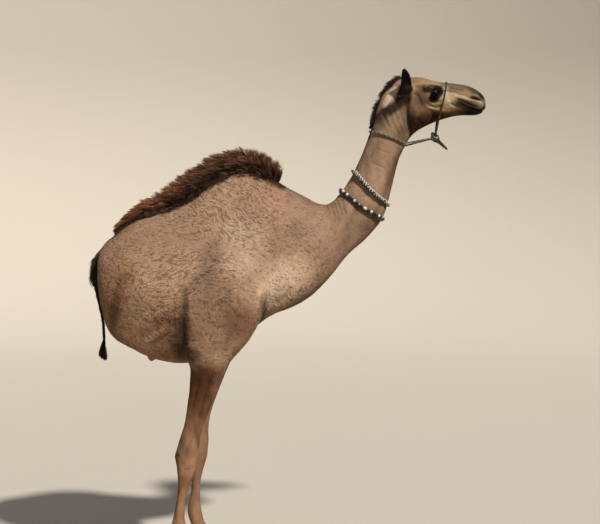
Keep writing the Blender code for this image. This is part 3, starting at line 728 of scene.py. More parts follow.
def thin_out(skin, triangles):
    """Fewer triangles, kept where the head and the eyes need them."""
    points = read_points(skin)
    head = on_head(points) > 0.3
    eye = np.zeros(len(points), bool)
    for side in (-1, 1):
        eye |= np.linalg.norm(points - np.array(eye_middle(side)), axis=1) < 0.045
    coarse = skin.vertex_groups.new(name="coarse")
    for place, weight in ((~head & ~eye, 1.0), (head & ~eye, 0.55), (eye, 0.30)):
        coarse.add(np.nonzero(place)[0].tolist(), weight, "REPLACE")
    decimate = skin.modifiers.new("thin_out", "DECIMATE")
    decimate.ratio = triangles / (2 * len(skin.data.polygons))
    decimate.vertex_group = "coarse"
    decimate.vertex_group_factor = 0.004
    apply_modifiers(skin)
    skin.vertex_groups.clear()


def cut_away(skin, cutter):
    """Takes a closed shape out of the skin."""
    face_outward(cutter)
    cut = skin.modifiers.new("cut", "BOOLEAN")
    cut.operation = "DIFFERENCE"
    cut.solver = "MANIFOLD"
    cut.object = cutter
    apply_modifiers(skin)
    bpy.data.objects.remove(cutter)


def make_skin(nodes):
    shell = join_flesh(nodes)
    skin = fused_skin(smooth_flesh(shell))
    bpy.data.objects.remove(shell)
    sculpt(skin)
    thin_out(skin, SKIN_TRIANGLES)
    for side in (-1, 1):
        cut_away(skin, ball("socket", EYE_RADIUS + 0.0003, eye_middle(side)))
        cut_away(skin, opening(side))
    shade_smooth(skin.data)
    skin.data.set_sharp_from_angle(angle=math.radians(62))
    return skin


# ---------------------------------------------------------------- colour marks, with painted shade and highlights
class Mark(NamedTuple):
    """An ellipse of colour in the side view."""

    middle: tuple
    radii: tuple
    colour: tuple
    amount: float
    tilt: float = 0.0  # degrees, front end up
    core: float = 0.30  # the share of the radii within which the colour is full
    round: bool = False  # it goes round the chest's front too


BODY_MARKS = [
    Mark((0.281, 1.879), (0.120, 0.110), PINK, 0.75),
    Mark((0.150, 1.715), (0.160, 0.110), (0.490, 0.340, 0.238), 0.80),
    Mark((0.030, 1.870), (0.150, 0.080), (0.470, 0.310, 0.200), 0.60, tilt=30),
    Mark((-0.292, 1.640), (0.180, 0.130), (0.350, 0.212, 0.130), 0.60),
    Mark((0.010, 1.612), (0.080, 0.105), WOOL_GREY, 0.90, tilt=-15),
    Mark((-0.020, 1.480), (0.080, 0.110), WOOL_GREY, 0.45),
    Mark((0.440, 1.722), (0.070, 0.065), WOOL_GREY, 0.65),
    Mark((0.365, 1.475), (0.190, 0.150), (0.700, 0.495, 0.345), 1.00, tilt=35),
    Mark((0.160, 1.600), (0.150, 0.120), (0.540, 0.372, 0.258), 0.75),
    Mark((0.030, 1.390), (0.140, 0.170), (0.225, 0.128, 0.076), 0.70),
    Mark((0.145, 1.285), (0.100, 0.110), (0.185, 0.090, 0.045), 0.85, tilt=-50),
    Mark((-0.465, 1.440), (0.110, 0.190), RED_BROWN, 0.55, tilt=-20),
    Mark((-0.520, 1.620), (0.070, 0.090), PINK, 0.60),
    Mark((-0.300, 1.290), (0.130, 0.080), (0.400, 0.270, 0.165), 0.70, tilt=-20),
    Mark((-0.292, 1.400), (0.110, 0.075), (0.290, 0.168, 0.095), 0.60),
    # the belly's pale colour, lightened further as painted bounce light from the floor
    Mark((-0.340, 1.225), (0.190, 0.085), (0.560, 0.350, 0.210), 0.92, tilt=-25),
    Mark((-0.225, 1.292), (0.110, 0.060), (0.230, 0.103, 0.050), 0.75, tilt=25),
    Mark((-0.215, 1.125), (0.130, 0.034), (0.330, 0.150, 0.075), 0.60, tilt=-10),
    Mark((0.100, 1.960), (0.200, 0.060), (0.460, 0.285, 0.175), 0.80, tilt=20),
    # painted shade in the hollow behind the foreleg
    Mark((-0.142, 1.200), (0.052, 0.200), (0.075, 0.038, 0.020), 0.90, tilt=-4),
    # painted shade on the soft rear edge of that hollow
    Mark((-0.188, 1.220), (0.026, 0.110), (0.150, 0.090, 0.045), 0.70),
    # painted shade at the top of the hollow behind the foreleg
    Mark((-0.118, 1.390), (0.022, 0.090), DEEP_BROWN, 0.75),
    Mark((-0.085, 1.120), (0.050, 0.060), (0.050, 0.028, 0.017), 0.80),
    Mark((-0.165, 1.405), (0.045, 0.040), (0.330, 0.210, 0.090), 0.60, tilt=40),
    Mark((-0.395, 1.590), (0.075, 0.040), (0.400, 0.245, 0.125), 0.45, tilt=15),
    Mark((-0.420, 1.500), (0.060, 0.028), (0.190, 0.100, 0.055), 0.60, tilt=25),
    Mark((-0.430, 1.690), (0.080, 0.045), (0.500, 0.290, 0.185), 0.55, tilt=35),
    Mark((-0.475, 1.350), (0.035, 0.180), (0.150, 0.068, 0.030), 0.80, tilt=-12),
    # painted shade along the lower edge of the breast, where it turns under
    Mark((0.410, 1.356), (0.180, 0.024), (0.180, 0.098, 0.054), 0.55, tilt=31, round=True),
    Mark((0.520, 1.722), (0.130, 0.090), (0.430, 0.282, 0.195), 0.55, tilt=30),
    # painted shade where the arm meets the chest
    Mark((0.258, 1.335), (0.013, 0.080), DEEP_BROWN, 0.70, tilt=-10),
    # painted shade down the front edge of the neck
    Mark((0.945, 2.020), (0.070, 0.240), (0.200, 0.098, 0.048), 0.90, tilt=-16),
    Mark((0.800, 1.760), (0.060, 0.100), (0.220, 0.118, 0.062), 0.70, tilt=-30),
    Mark((0.830, 2.020), (0.040, 0.110), (0.470, 0.300, 0.190), 0.60, tilt=-14),
]
LEG_MARKS = [
    # the forearm's own dark red-brown, deepened by painted shadow of the trunk above it
    Mark((-0.040, 1.010), (0.120, 0.100), (0.075, 0.028, 0.013), 0.95, tilt=18),
    Mark((0.048, 1.118), (0.070, 0.045), (0.440, 0.300, 0.180), 0.75, tilt=30),
    # more of the forearm's dark red-brown, deepened by painted shadow of the trunk
    Mark((-0.060, 0.890), (0.110, 0.140), (0.120, 0.044, 0.020), 0.90, tilt=10),
    Mark((-0.080, 0.760), (0.045, 0.100), (0.240, 0.110, 0.056), 0.60, tilt=12),
    Mark((-0.150, 0.700), (0.030, 0.120), (0.150, 0.085, 0.048), 0.70, tilt=12),
    Mark((-0.115, 0.640), (0.050, 0.080), (0.330, 0.185, 0.108), 0.55),
    Mark((-0.185, 0.560), (0.026, 0.090), (0.110, 0.060, 0.040), 0.70),
    Mark((-0.100, 0.600), (0.045, 0.060), (0.315, 0.172, 0.102), 0.60),
    Mark((-0.110, 0.545), (0.060, 0.030), (0.400, 0.230, 0.130), 0.60),
    Mark((-0.170, 0.620), (0.012, 0.014), (0.060, 0.030, 0.020), 0.90),
    Mark((-0.130, 0.485), (0.050, 0.045), (0.170, 0.085, 0.040), 0.55),
    Mark((-0.175, 0.440), (0.020, 0.090), (0.130, 0.062, 0.030), 0.60),
    # painted shade at the forearm's front edge, in the gap between the two forelegs
    Mark((-0.075, 0.700), (0.012, 0.110), (0.150, 0.075, 0.040), 0.75, tilt=8),
]
FACE_MARKS = [
    Mark((1.075, 2.480), (0.110, 0.040), (0.430, 0.300, 0.155), 0.75),
    Mark((1.022, 2.492), (0.045, 0.026), (0.320, 0.170, 0.085), 0.70, tilt=10),
    Mark((1.024, 2.452), (0.040, 0.022), (0.480, 0.340, 0.190), 0.75, tilt=20),
    Mark((1.026, 2.419), (0.026, 0.014), (0.240, 0.115, 0.045), 0.80),
    Mark((1.198, 2.398), (0.052, 0.062), (0.600, 0.480, 0.290), 0.95),
    Mark((1.204, 2.438), (0.026, 0.016), (0.330, 0.185, 0.115), 0.75, tilt=-10),
    Mark((1.255, 2.462), (0.140, 0.034), (0.165, 0.108, 0.060), 0.90, tilt=-9),
    Mark((1.268, 2.432), (0.070, 0.024), (0.380, 0.255, 0.125), 0.65, tilt=-14),
    Mark((1.054, 2.376), (0.050, 0.058), (0.135, 0.086, 0.058), 0.85),
    Mark((1.000, 2.350), (0.040, 0.050), (0.330, 0.185, 0.100), 0.75, tilt=20),
    Mark((1.062, 2.322), (0.070, 0.035), (0.250, 0.120, 0.055), 0.65),
    Mark((1.122, 2.352), (0.052, 0.013), (0.520, 0.340, 0.190), 0.85, tilt=4),
    Mark((1.135, 2.322), (0.048, 0.018), (0.200, 0.120, 0.060), 0.70, tilt=12),
    # these two: the jaw's dark brown, deepened by painted shade along and under its lower edge
    Mark((1.150, 2.306), (0.120, 0.028), (0.120, 0.058, 0.030), 0.80, tilt=12),
    Mark((1.060, 2.276), (0.140, 0.060), (0.058, 0.020, 0.010), 0.97, tilt=20, core=0.36),
    # painted shadow under the jaw, at the throat
    Mark((0.992, 2.260), (0.040, 0.110), (0.035, 0.018, 0.012), 0.90, tilt=-4),
    Mark((0.975, 2.330), (0.024, 0.060), DEEP_BROWN, 0.80, tilt=8),
    Mark((0.960, 2.400), (0.046, 0.055), (0.060, 0.030, 0.017), 0.95),
    Mark((0.968, 2.424), (0.036, 0.056), (0.030, 0.020, 0.014), 0.95, core=0.60),
    Mark((0.928, 2.478), (0.030, 0.036), (0.520, 0.330, 0.270), 0.75),
    # round the eye: behind it the painted shade under the brow, before it a pale patch, and dark skin
    # deepened by painted shade of the socket and the lashes
    Mark((1.078, 2.436), (0.052, 0.021), (0.040, 0.018, 0.010), 1.00, tilt=4),
    Mark((1.170, 2.418), (0.020, 0.046), (0.620, 0.520, 0.370), 0.95, tilt=-14),
    Mark((1.130, 2.429), (0.036, 0.032), (0.009, 0.006, 0.004), 1.00, tilt=24, core=0.72),
    Mark((1.117, 2.402), (0.034, 0.025), (0.009, 0.006, 0.004), 1.00, tilt=40, core=0.66),
    # muzzle
    Mark((1.288, 2.397), (0.090, 0.013), (0.560, 0.430, 0.270), 0.85, tilt=-14),
    Mark((1.345, 2.373), (0.050, 0.015), (0.480, 0.370, 0.230), 0.85, tilt=-16),
    # painted shadow under the upper lip, along the mouth
    Mark((1.276, 2.363), (0.080, 0.027), (0.040, 0.021, 0.010), 0.97, tilt=-16, core=0.50),
    Mark((1.205, 2.338), (0.060, 0.018), (0.220, 0.120, 0.050), 0.70, tilt=4),
    Mark((1.235, 2.322), (0.080, 0.020), (0.110, 0.060, 0.034), 0.75, tilt=3),
    Mark((1.320, 2.330), (0.090, 0.034), (0.009, 0.006, 0.005), 0.98, tilt=3),
    Mark((1.320, 2.396), (0.036, 0.010), (0.010, 0.007, 0.005), 0.97, tilt=-16),
    Mark((1.354, 2.412), (0.038, 0.013), (0.014, 0.010, 0.008), 1.00, tilt=-46),
    Mark((1.320, 2.436), (0.044, 0.018), (0.075, 0.056, 0.040), 0.85, tilt=-28),
    Mark((1.380, 2.352), (0.022, 0.026), (0.030, 0.019, 0.013), 0.90),
]
NECK_MARKS = [
    # painted shadow of the ear and the head across the neck
    Mark((0.888, 2.340), (0.115, 0.036), (0.024, 0.013, 0.009), 0.96, tilt=33, core=0.50),
    Mark((0.940, 2.400), (0.026, 0.050), (0.022, 0.013, 0.009), 0.95, tilt=-30),
    # painted shadow under the jaw, at the throat
    Mark((1.000, 2.262), (0.020, 0.095), (0.022, 0.012, 0.008), 0.92, tilt=12),
    # painted shade down the front edge of the neck
    Mark((0.960, 2.120), (0.018, 0.130), (0.055, 0.030, 0.019), 0.80, tilt=-23),
    Mark((0.850, 2.290), (0.040, 0.050), (0.160, 0.090, 0.052), 0.60, tilt=20),
    Mark((0.955, 2.225), (0.050, 0.050), (0.150, 0.088, 0.050), 0.75, tilt=20),
    Mark((0.905, 2.270), (0.030, 0.060), (0.390, 0.250, 0.155), 0.55, tilt=20),
]
NAPE_STREAK = [(0.922, 2.450), (0.893, 2.412), (0.866, 2.374)]
STREAK_WIDTH = 0.016
STREAK_COLOUR = (0.56, 0.43, 0.30)
CREST_LINE = [
    (-0.580, 1.655), (-0.545, 1.692), (-0.505, 1.722), (-0.430, 1.778), (-0.335, 1.828), (-0.240, 1.852),
    (-0.130, 1.908), (-0.030, 1.984), (0.070, 2.040), (0.180, 2.050), (0.285, 2.012), (0.345, 1.975),
]
NAPE_LINE = [(0.955, 2.505), (0.900, 2.488), (0.856, 2.430), (0.822, 2.350), (0.797, 2.272), (0.780, 2.215)]


def blend(colours, target, amount):
    return colours + (np.array(target) - colours) * np.clip(amount, 0, 1)[:, None]


def mark_weight(view, mark, ragged):
    """1 inside an ellipse in the side view, falling to 0 round its ragged edge."""
    turn = math.radians(mark.tilt)
    away = view - np.array(mark.middle)
    along = away[:, 0] * math.cos(turn) + away[:, 1] * math.sin(turn)
    across = -away[:, 0] * math.sin(turn) + away[:, 1] * math.cos(turn)
    radius = np.hypot(along / mark.radii[0], across / mark.radii[1])
    return mark.amount * smoothstep(1.15, mark.core, radius + ragged)


def ear_height(points):
    """How far up an ear a point lies, 0 at its root and 1 at its tip, and 0 off the ears."""
    height = np.zeros(len(points))
    for side in (-1, 1):
        own = moved(points, np.linalg.inv(ear_frame(side)))
        inside = (np.abs(own[:, 0] + 0.006) < 0.022) & (np.abs(own[:, 1]) < 0.045) & (own[:, 2] > 0.004)
        height = np.maximum(height, np.where(inside, own[:, 2] / EAR_LENGTH, 0.0))
    return height


def on_neck(points):
    return smoothstep(0.50, 0.68, points[:, 0]) * (1 - on_head(points))


def near_line(points, line, half, reach):
    """1 on a line along the body's back, falling to 0 at half beside it and at reach below it."""
    distance, _ = along_path(side_view(points), line)
    beside = np.abs(points[:, 1]) / half + 0.18 * noise(points, 0.02, seed=19)
    return smoothstep(1.3, 0.6, beside) * smoothstep(reach, 0.5 * reach, distance)


def markings_and_painted_shade(points, normals):
    """The animal's colours, with painted shade and highlights worked in, the same for skin and coat."""
    head, neck, limbs = on_head(points), on_neck(points), on_limbs(points)
    height = points[:, 2]
    trunk = (1 - head) * (1 - neck) * (1 - limbs)
    patchy = layered_noise(points, 0.07, seed=11)
    colours = np.tile(np.array(TAN), (len(points), 1))
    colours = blend(colours, BROWN, trunk * smoothstep(1.50, 1.05, height + 0.04 * patchy) * 0.50)
    colours = blend(colours, BROWN, trunk * smoothstep(-0.44, -0.60, points[:, 0]) * 0.60)
    beside_tail = smoothstep(0.100, 0.020, np.abs(points[:, 1])) * smoothstep(-0.60, -0.85, normals[:, 0])
    beside_tail = beside_tail * smoothstep(1.18, 1.30, height) * smoothstep(1.62, 1.50, height)
    colours = blend(colours, (0.205, 0.152, 0.138), trunk * beside_tail * 0.95)
    # painted shade: the trunk is darker and redder where it faces down
    colours = blend(colours, (0.250, 0.125, 0.055), trunk * smoothstep(-0.2, -0.9, normals[:, 2]) * 0.45)
    colours = blend(colours, (0.345, 0.218, 0.134), neck * 0.9)
    uneven = 0.040 * noise(points, 0.035, seed=29)
    colours = blend(colours, (0.335, 0.175, 0.088), smoothstep(1.12, 1.0, height + uneven))
    colours = blend(colours, FACE_TAN, head)
    view = flank_view(points)
    ragged = 0.16 * layered_noise(points, 0.022, seed=17)
    outward = normals[:, 1] * np.sign(points[:, 1])
    inner = smoothstep(-0.2, 0.3, outward)
    flat_on = smoothstep(0.02, 0.42, outward) * (1 - head) * (1 - limbs)
    for mark in BODY_MARKS:
        place = trunk if mark.round else flat_on
        colours = blend(colours, mark.colour, mark_weight(view, mark, ragged) * place)
    for mark in LEG_MARKS:
        colours = blend(colours, mark.colour, mark_weight(view, mark, 1.5 * ragged) * (1 - head))
    colours = blend(colours, BROWN, limbs * (1 - inner) * 0.6)
    for mark in NECK_MARKS:
        colours = blend(colours, mark.colour, mark_weight(view, mark, ragged) * inner)
    for mark in FACE_MARKS:
        amount = mark_weight(view, mark, 0.7 * ragged) * smoothstep(0.2, 0.5, head)
        colours = blend(colours, mark.colour, amount)
    # painted shade in the folds, painted highlight on the ridges
    colours = fold_shade_and_ridge_highlight(colours, points, normals)
    distance, _ = along_path(side_view(points), NAPE_STREAK)
    streak = smoothstep(1.3, 0.5, distance / STREAK_WIDTH + ragged) * inner
    colours = blend(colours, STREAK_COLOUR, 0.95 * streak)
    # painted shadow of the crest: a dark band on the skin just below it
    colours = blend(colours, (0.080, 0.038, 0.021), near_line(points, CREST_LINE, 0.056, 0.050))
    colours = blend(colours, BLACK_BROWN, near_line(points, NAPE_LINE, 0.026, 0.040))
    colours = blend(colours, (0.014, 0.009, 0.006), smoothstep(0.00, 0.06, ear_height(points)))
    mottle = (neck + limbs) * noise(points * np.array((1.0, 1.0, 0.6)), 0.028, seed=27)
    fine = layered_noise(points, 0.018, seed=23)
    return colours * (1 + 0.10 * patchy + 0.05 * fine + 0.22 * mottle)[:, None]


def fold_shade_and_ridge_highlight(colours, points, normals):
    """Painted shade darkens the folds and painted highlight lightens the ridges."""
    tone = np.ones(len(points))
    for stroke, weight in zip(ALL_STROKES, stroke_weights(points, normals, ALL_STROKES)):
        share = min(0.60, abs(stroke.depth) * 75) if stroke.tone is None else stroke.tone
        tone *= 1 - share * weight if stroke.depth > 0 else 1 + 0.35 * share * weight
    return colours * tone[:, None]


WAVES = [  # middle and radii of a part of the coat, and how far its waves slope down forward, in degrees
    ((0.10, 1.84), (0.30, 0.22), 38),
    ((-0.20, 1.52), (0.26, 0.17), -12),
    ((-0.19, 1.34), (0.12, 0.11), 52),
    ((0.04, 1.50), (0.11, 0.20), 8),
]
ELSEWHERE = ((0.0, 0.0), (math.inf, math.inf), 22)


def share_of(view, middle, radii, outer, inner):
    """1 in the middle of a part of the coat, falling to 0 from inner to outer times its radii."""
    return smoothstep(outer, inner, np.linalg.norm((view - middle) / radii, axis=1))


def ripple(points):
    """The waves of the woolly coat, -1..1: narrow along the lie of the hair, long across it."""
    bent = points.copy()
    for axis in (0, 2):
        wide = 0.022 * noise(points, 0.12, seed=31 + axis)
        bent[:, axis] += wide + 0.005 * noise(points, 0.030, seed=37 + axis)
    view = side_view(points)
    total = np.zeros(len(points))
    rest = np.ones(len(points))
    for middle, radii, slope in [*WAVES, ELSEWHERE]:
        share = share_of(view, middle, radii, 1.2, 0.6) * rest
        rest = rest - share
        used = share > 0.01
        slope = math.radians(slope)
        near = bent[used]
        along = near[:, 2] * math.cos(slope) + near[:, 0] * math.sin(slope)
        across = near[:, 0] * math.cos(slope) - near[:, 2] * math.sin(slope)
        squeezed = np.stack([across / 3.6, near[:, 1] / 2.8, along], 1)
        wave = noise(squeezed, 0.0035, seed=41) + 0.25 * noise(squeezed, 0.0085, seed=43)
        total[used] += share[used] * wave
    return total


def woolly(points):
    """Where the coat is woolly: 1 on the hump, flank and shoulder, little on the legs and face."""
    view = side_view(points)
    most = np.zeros(len(points))
    for middle, radii, _ in WAVES:
        most = np.maximum(most, share_of(view, middle, radii, 1.3, 0.5))
    most = most * (0.75 + 0.35 * noise(points, 0.09, seed=47))
    trunk = (1 - 0.9 * on_head(points)) * (1 - 0.6 * on_neck(points)) * (1 - 0.7 * on_limbs(points))
    return np.clip(0.34 + 0.66 * most, 0, 1) * trunk


# ---------------------------------------------------------------- coat
# What the tufts are like: how many to the square metre, their length, width and lift off the skin.
TRUNK_COAT = {"density": 86000, "length": 0.0098, "width": 0.0024, "lift": 0.0022}
NECK_COAT = {"density": 125000, "length": 0.0125, "width": 0.0019, "lift": 0.0012}
LEG_COAT = {"density": 120000, "length": 0.0100, "width": 0.0018, "lift": 0.0010}
FACE_COAT = {"density": 290000, "length": 0.0062, "width": 0.0013, "lift": 0.0006}
MAP_TRIANGLES = 1400  # of the shape that each coat piece's map is unwrapped from
PATCH = 0.003  # how far across a tuft's place on the OFBake map is
COAT_SPLIT_X = -0.03  # the trunk's coat is parted here into front and rear pieces


def coat_value(points, key):
    value = np.full(len(points), float(TRUNK_COAT[key]))
    for share, kind in ((on_neck, NECK_COAT), (on_limbs, LEG_COAT), (on_head, FACE_COAT)):
        amount = share(points)
        value = value * (1 - amount) + kind[key] * amount
    return value


def lie_of_coat(points, normals):
    """The way the hair points at each place: back from the nose, down the neck, back and down the trunk."""
    head, neck, limbs = on_head(points), on_neck(points), on_limbs(points)
    rear = smoothstep(-0.25, -0.55, points[:, 0])
    high = smoothstep(1.60, 1.95, points[:, 2])
    way = np.tile(np.array((-0.50, 0.0, -0.86)), (len(points), 1))
    for amount, towards in (
        (rear, (-0.15, 0.0, -1.0)),
        (high, (-0.85, 0.0, -0.45)),
        (neck, (-0.42, 0.0, -0.90)),
        (limbs, (-0.05, 0.0, -1.0)),
        (head, (-1.0, 0.0, -0.10)),
        (smoothstep(0.02, 0.12, ear_height(points)), (-0.1, 0.0, 1.0)),
    ):
        way = way + (np.array(towards) - way) * amount[:, None]
    way += np.array((0, 1, 0)) * (0.12 * np.sign(points[:, 1]) * high)[:, None]
    way = unit(way - normals * np.sum(way * normals, axis=1, keepdims=True))
    swirl = 0.55 * noise(points, 0.12, seed=51) + 0.50 * woolly(points) * noise(points, 0.020, seed=53)
    sideways = np.cross(normals, way)
    return unit(way * np.cos(swirl)[:, None] + sideways * np.sin(swirl)[:, None])


def triangle_areas(points, triangles):
    """The area and the middle of each triangle."""
    a, b, c = (points[triangles[:, k]] for k in range(3))
    return np.linalg.norm(np.cross(b - a, c - a), axis=1) / 2, (a + b + c) / 3


def spots_on(surface, picked, random):
    """A random place in each picked triangle, with the surface's normal there."""
    points, triangles, normals = surface
    u, v = random.random((2, len(picked)))
    flip = u + v > 1
    u, v = np.where(flip, 1 - u, u), np.where(flip, 1 - v, v)
    shares = np.stack([1 - u - v, u, v], 1)
    corners = triangles[picked]
    places = np.einsum("ik,ikj->ij", shares, points[corners])
    return places, unit(np.einsum("ik,ikj->ij", shares, normals[corners]))


def scatter(surface, random):
    """Places all over the skin, as dense as the coat is there, with the skin's normal at each."""
    area, middles = triangle_areas(*surface[:2])
    wanted = area * coat_value(middles, "density") * 1.0
    count = np.floor(wanted + random.random(len(wanted))).astype(int)
    return spots_on(surface, np.repeat(np.arange(len(area)), count), random)


def bare(points):
    """Where no tuft grows: on the eyes and the soles."""
    none = points[:, 2] < 0.055
    for side in (-1, 1):
        away = points - np.array(eye_middle(side))
        out = np.array(eye_axes(side)[0])
        none |= (np.linalg.norm(away, axis=1) < EYE_RADIUS + 0.0012) & (away @ out > -0.004)
    return none


class SkinMap:
    """An unwrap of part of the skin's own shape. It gives the map's place of any point on it."""

    def __init__(self, points, triangles, inside):
        used = triangles[inside]
        names, index = np.unique(used, return_inverse=True)
        proxy = mesh_object("proxy", points[names], index.reshape(-1, 3))
        thin = proxy.modifiers.new("thin", "DECIMATE")
        thin.ratio = min(1.0, MAP_TRIANGLES / len(used))
        apply_modifiers(proxy)
        bpy.context.view_layer.objects.active = proxy
        proxy.select_set(True)
        bpy.ops.object.mode_set(mode="EDIT")
        bpy.ops.mesh.select_all(action="SELECT")
        bpy.ops.uv.smart_project(angle_limit=math.radians(66), island_margin=0.004)
        bpy.ops.object.mode_set(mode="OBJECT")
        self.corners = read_points(proxy)[read_triangles(proxy)]
        loops = read(proxy.data.loop_triangles, "loops", 3, np.int32)
        self.uv = read(proxy.data.uv_layers.active.uv, "vector", 2)[loops]
        low, high = self.uv.min((0, 1)), self.uv.max((0, 1))
        self.uv = 0.006 + 0.988 * (self.uv - low) / (high - low)
        places = self.corners.reshape(-1, 3)
        self.tree = BVHTree.FromPolygons(places.tolist(), np.arange(len(places)).reshape(-1, 3).tolist())
        bpy.data.objects.remove(proxy)

    def __call__(self, places):
        face = np.array([self.tree.find_nearest(place)[2] for place in places.tolist()])
        a, b, c = (self.corners[face, k] for k in range(3))
        normal = np.cross(b - a, c - a)
        scale = np.maximum(np.sum(normal * normal, axis=1), 1e-18)
        share_b = np.sum(np.cross(places - a, c - a) * normal, axis=1) / scale
        share_c = np.sum(np.cross(b - a, places - a) * normal, axis=1) / scale
        shares = np.clip(np.stack([1 - share_b - share_c, share_b, share_c], 1), 0, 1)
        shares /= shares.sum(1, keepdims=True)
        return np.einsum("ik,ikj->ij", shares, self.uv[face])


def add_uv(obj, name, values):
    layer = obj.data.uv_layers.new(name=name)
    layer.uv.foreach_set("vector", np.asarray(values, np.float32).ravel())


def add_colours(obj, colours):
    """Colours of the vertices, read by the materials."""
    layer = obj.data.color_attributes.new("marking", "FLOAT_COLOR", "POINT")
    full = np.ones((len(obj.data.vertices), 4), np.float32)
    full[:, :3] = np.clip(colours, 0, 1)
    layer.data.foreach_set("color", full.ravel())


def shaded(colour, shade):
    """The colour times each shade."""
    return np.array(colour) * shade[:, None]


def add_number(obj, name, values):
    layer = obj.data.attributes.new(name, "FLOAT", "POINT")
    layer.data.foreach_set("value", np.asarray(values, np.float32))


def blades(name, lines, sides, widths, root_uv, colours, tip_tone):
    """Flat tapering blades, one along each line of points (blades, steps, 3)."""
    count, steps, _ = lines.shape
    taper = np.array([1.0, 0.92, 0.0]) if steps == 3 else np.linspace(1.0, 0.0, steps) ** 0.6
    reach = sides[:, None, :] * (widths[:, None] * taper[None, :] / 2)[:, :, None]
    edges = np.stack([lines[:, :-1] - reach[:, :-1], lines[:, :-1] + reach[:, :-1]], 2).reshape(count, -1, 3)
    points = np.concatenate([edges, lines[:, -1:]], 1)
    each = points.shape[1]
    start = np.arange(count)[:, None] * each
    quads = [start + 2 * step + np.array((0, 1, 3, 2)) for step in range(steps - 2)]
    tips = start + each - np.array((3, 2, 1))
    blade = mesh_object(name, points.reshape(-1, 3), np.concatenate(quads), tips)
    step_of = np.append(np.repeat(np.arange(steps - 1), 2), steps - 1)
    share = step_of / (steps - 1)
    tone = tip_tone[0] + (tip_tone[1] - tip_tone[0]) * share
    add_colours(blade, (colours[:, None] * tone[None, :, None]).reshape(-1, 3))
    patch = np.array([[(-1) ** (k + 1) * 0.5 * (1 - 0.5 * share[k]), share[k] - 0.5] for k in range(each)])
    patch[-1] = (0.0, 0.5)
    uv = (root_uv[:, None, :] + PATCH * patch[None]).reshape(-1, 2)
    add_uv(blade, "OFBake", uv[read(blade.data.loops, "vertex_index", 1, np.int32)[:, 0]])
    return blade


def tufts(name, roots, normals, skin_map, random):
    """Short hair over part of the skin. Its waves show in how far it lifts and in painted highlight and shade
    on its colour.
    """
    ways = lie_of_coat(roots, normals)
    length = coat_value(roots, "length") * random.uniform(0.75, 1.25, len(roots))
    length *= 1 - 0.60 * smoothstep(0.05, 0.15, ear_height(roots))
    lift = coat_value(roots, "lift") * random.uniform(0.5, 1.4, len(roots))
    stray = random.normal(0, 0.16, len(roots))
    ways = unit(ways + np.cross(ways, normals) * stray[:, None])
    roll = random.normal(0, 0.30, len(roots))
    sides = unit(np.cross(ways, normals) + normals * roll[:, None])
    wave = ripple(roots + ways * (0.75 * length)[:, None]) * woolly(roots)
    rise = lift * (1 + 0.9 * wave)
    lines = [roots - normals * 0.0012]
    for share in (0.5, 1.0):
        lifted = roots + normals * (rise * (0.8 + 0.1 * share))[:, None]
        lines.append(lifted + ways * (share * length)[:, None])
    # the colour marks, with painted highlight and shade from the coat's waves
    colours = markings_and_painted_shade(roots, normals) * wave_highlight_and_shade(wave) * random.normal(1.0, 0.06, len(roots))[:, None]
    root_uv = spread_uv(*skin_map(roots).T)
    widths = coat_value(roots, "width")
    return blades(name, np.stack(lines, 1), sides, widths, root_uv, colours, (0.90, 1.08))


def wave_highlight_and_shade(wave):
    """Painted highlight on the waves' crests, and painted shade, browner, in the narrow gaps between them."""
    light = 1.05 + 0.24 * smoothstep(0.05, 0.40, wave)
    gap_shade = 0.62 * smoothstep(0.0, -0.30, wave)
    return light[:, None] * (1 - gap_shade[:, None] * np.array((1.0, 1.08, 1.15)))


def coat_regions(points):
    """Names of the coat's pieces and the places that belong to each."""
    left = points[:, 1] > 0
    head, neck, limbs = on_head(points) > 0.5, on_neck(points) > 0.5, points[:, 2] < 1.06
    front = points[:, 0] > COAT_SPLIT_X
    high = points[:, 2] > 1.60
    trunk = ~head & ~neck & ~limbs
    kinds = {
        "head": head,
        "neck": neck & ~head,
        "leg": limbs & ~head & ~neck,
        "flank_front": trunk & front & ~high,
        "flank_rear": trunk & ~front & ~high,
        "back_front": trunk & front & high,
        "back_rear": trunk & ~front & high,
    }
    regions = {}
    for kind, inside in kinds.items():
        regions[kind + "_left"] = inside & left
        regions[kind + "_right"] = inside & ~left
    return regions


def make_coat(skin, random):
    surface = surface_of(skin)
    points, triangles, _ = surface
    roots, normals = scatter(surface, random)
    keep = ~bare(roots)
    roots, normals = roots[keep], normals[keep]
    faces_in = coat_regions(points[triangles].mean(1))
    pieces = []
    for name, inside in coat_regions(roots).items():
        skin_map = SkinMap(points, triangles, faces_in[name])
        pieces.append(tufts("coat_" + name, roots[inside], normals[inside], skin_map, random))
    return pieces


# ---------------------------------------------------------------- long hair
CREST_PLACES = (-0.53, -0.42, -0.33, -0.20, 0.00, 0.09, 0.16, 0.23, 0.33)  # x along the crest
CREST_WAYS = (  # the way its hair points there, as (x, z) at the top and (x, z) at the base
    (-0.70, -0.70, -0.65, -0.75), (-0.70, 0.45, -0.80, -0.55), (-0.62, 0.72, -0.92, -0.30),
    (-0.93, 0.36, -0.90, -0.35), (-0.95, 0.32, -0.88, -0.45), (-0.88, 0.47, -0.95, -0.15),
    (-0.55, 0.83, -0.95, 0.20), (-0.05, 1.00, -0.60, 0.70), (0.42, 0.91, 0.25, 0.60),
)
CREST_STRANDS = 23000
NAPE_STRANDS = 6400
NAPE_TOP_BROWN = (0.110, 0.050, 0.034)


def roots_near(surface, weight, count, random):
    """Random places on a surface, as likely as weight says for each triangle."""
    area, middles = triangle_areas(*surface[:2])
    chance = area * weight(middles)
    picked = random.choice(len(chance), count, p=chance / chance.sum())
    return spots_on(surface, picked, random)


def even_roots(surface, count, random):
    """Random places all over a surface."""
    return roots_near(surface, lambda middles: np.ones(len(middles)), count, random)


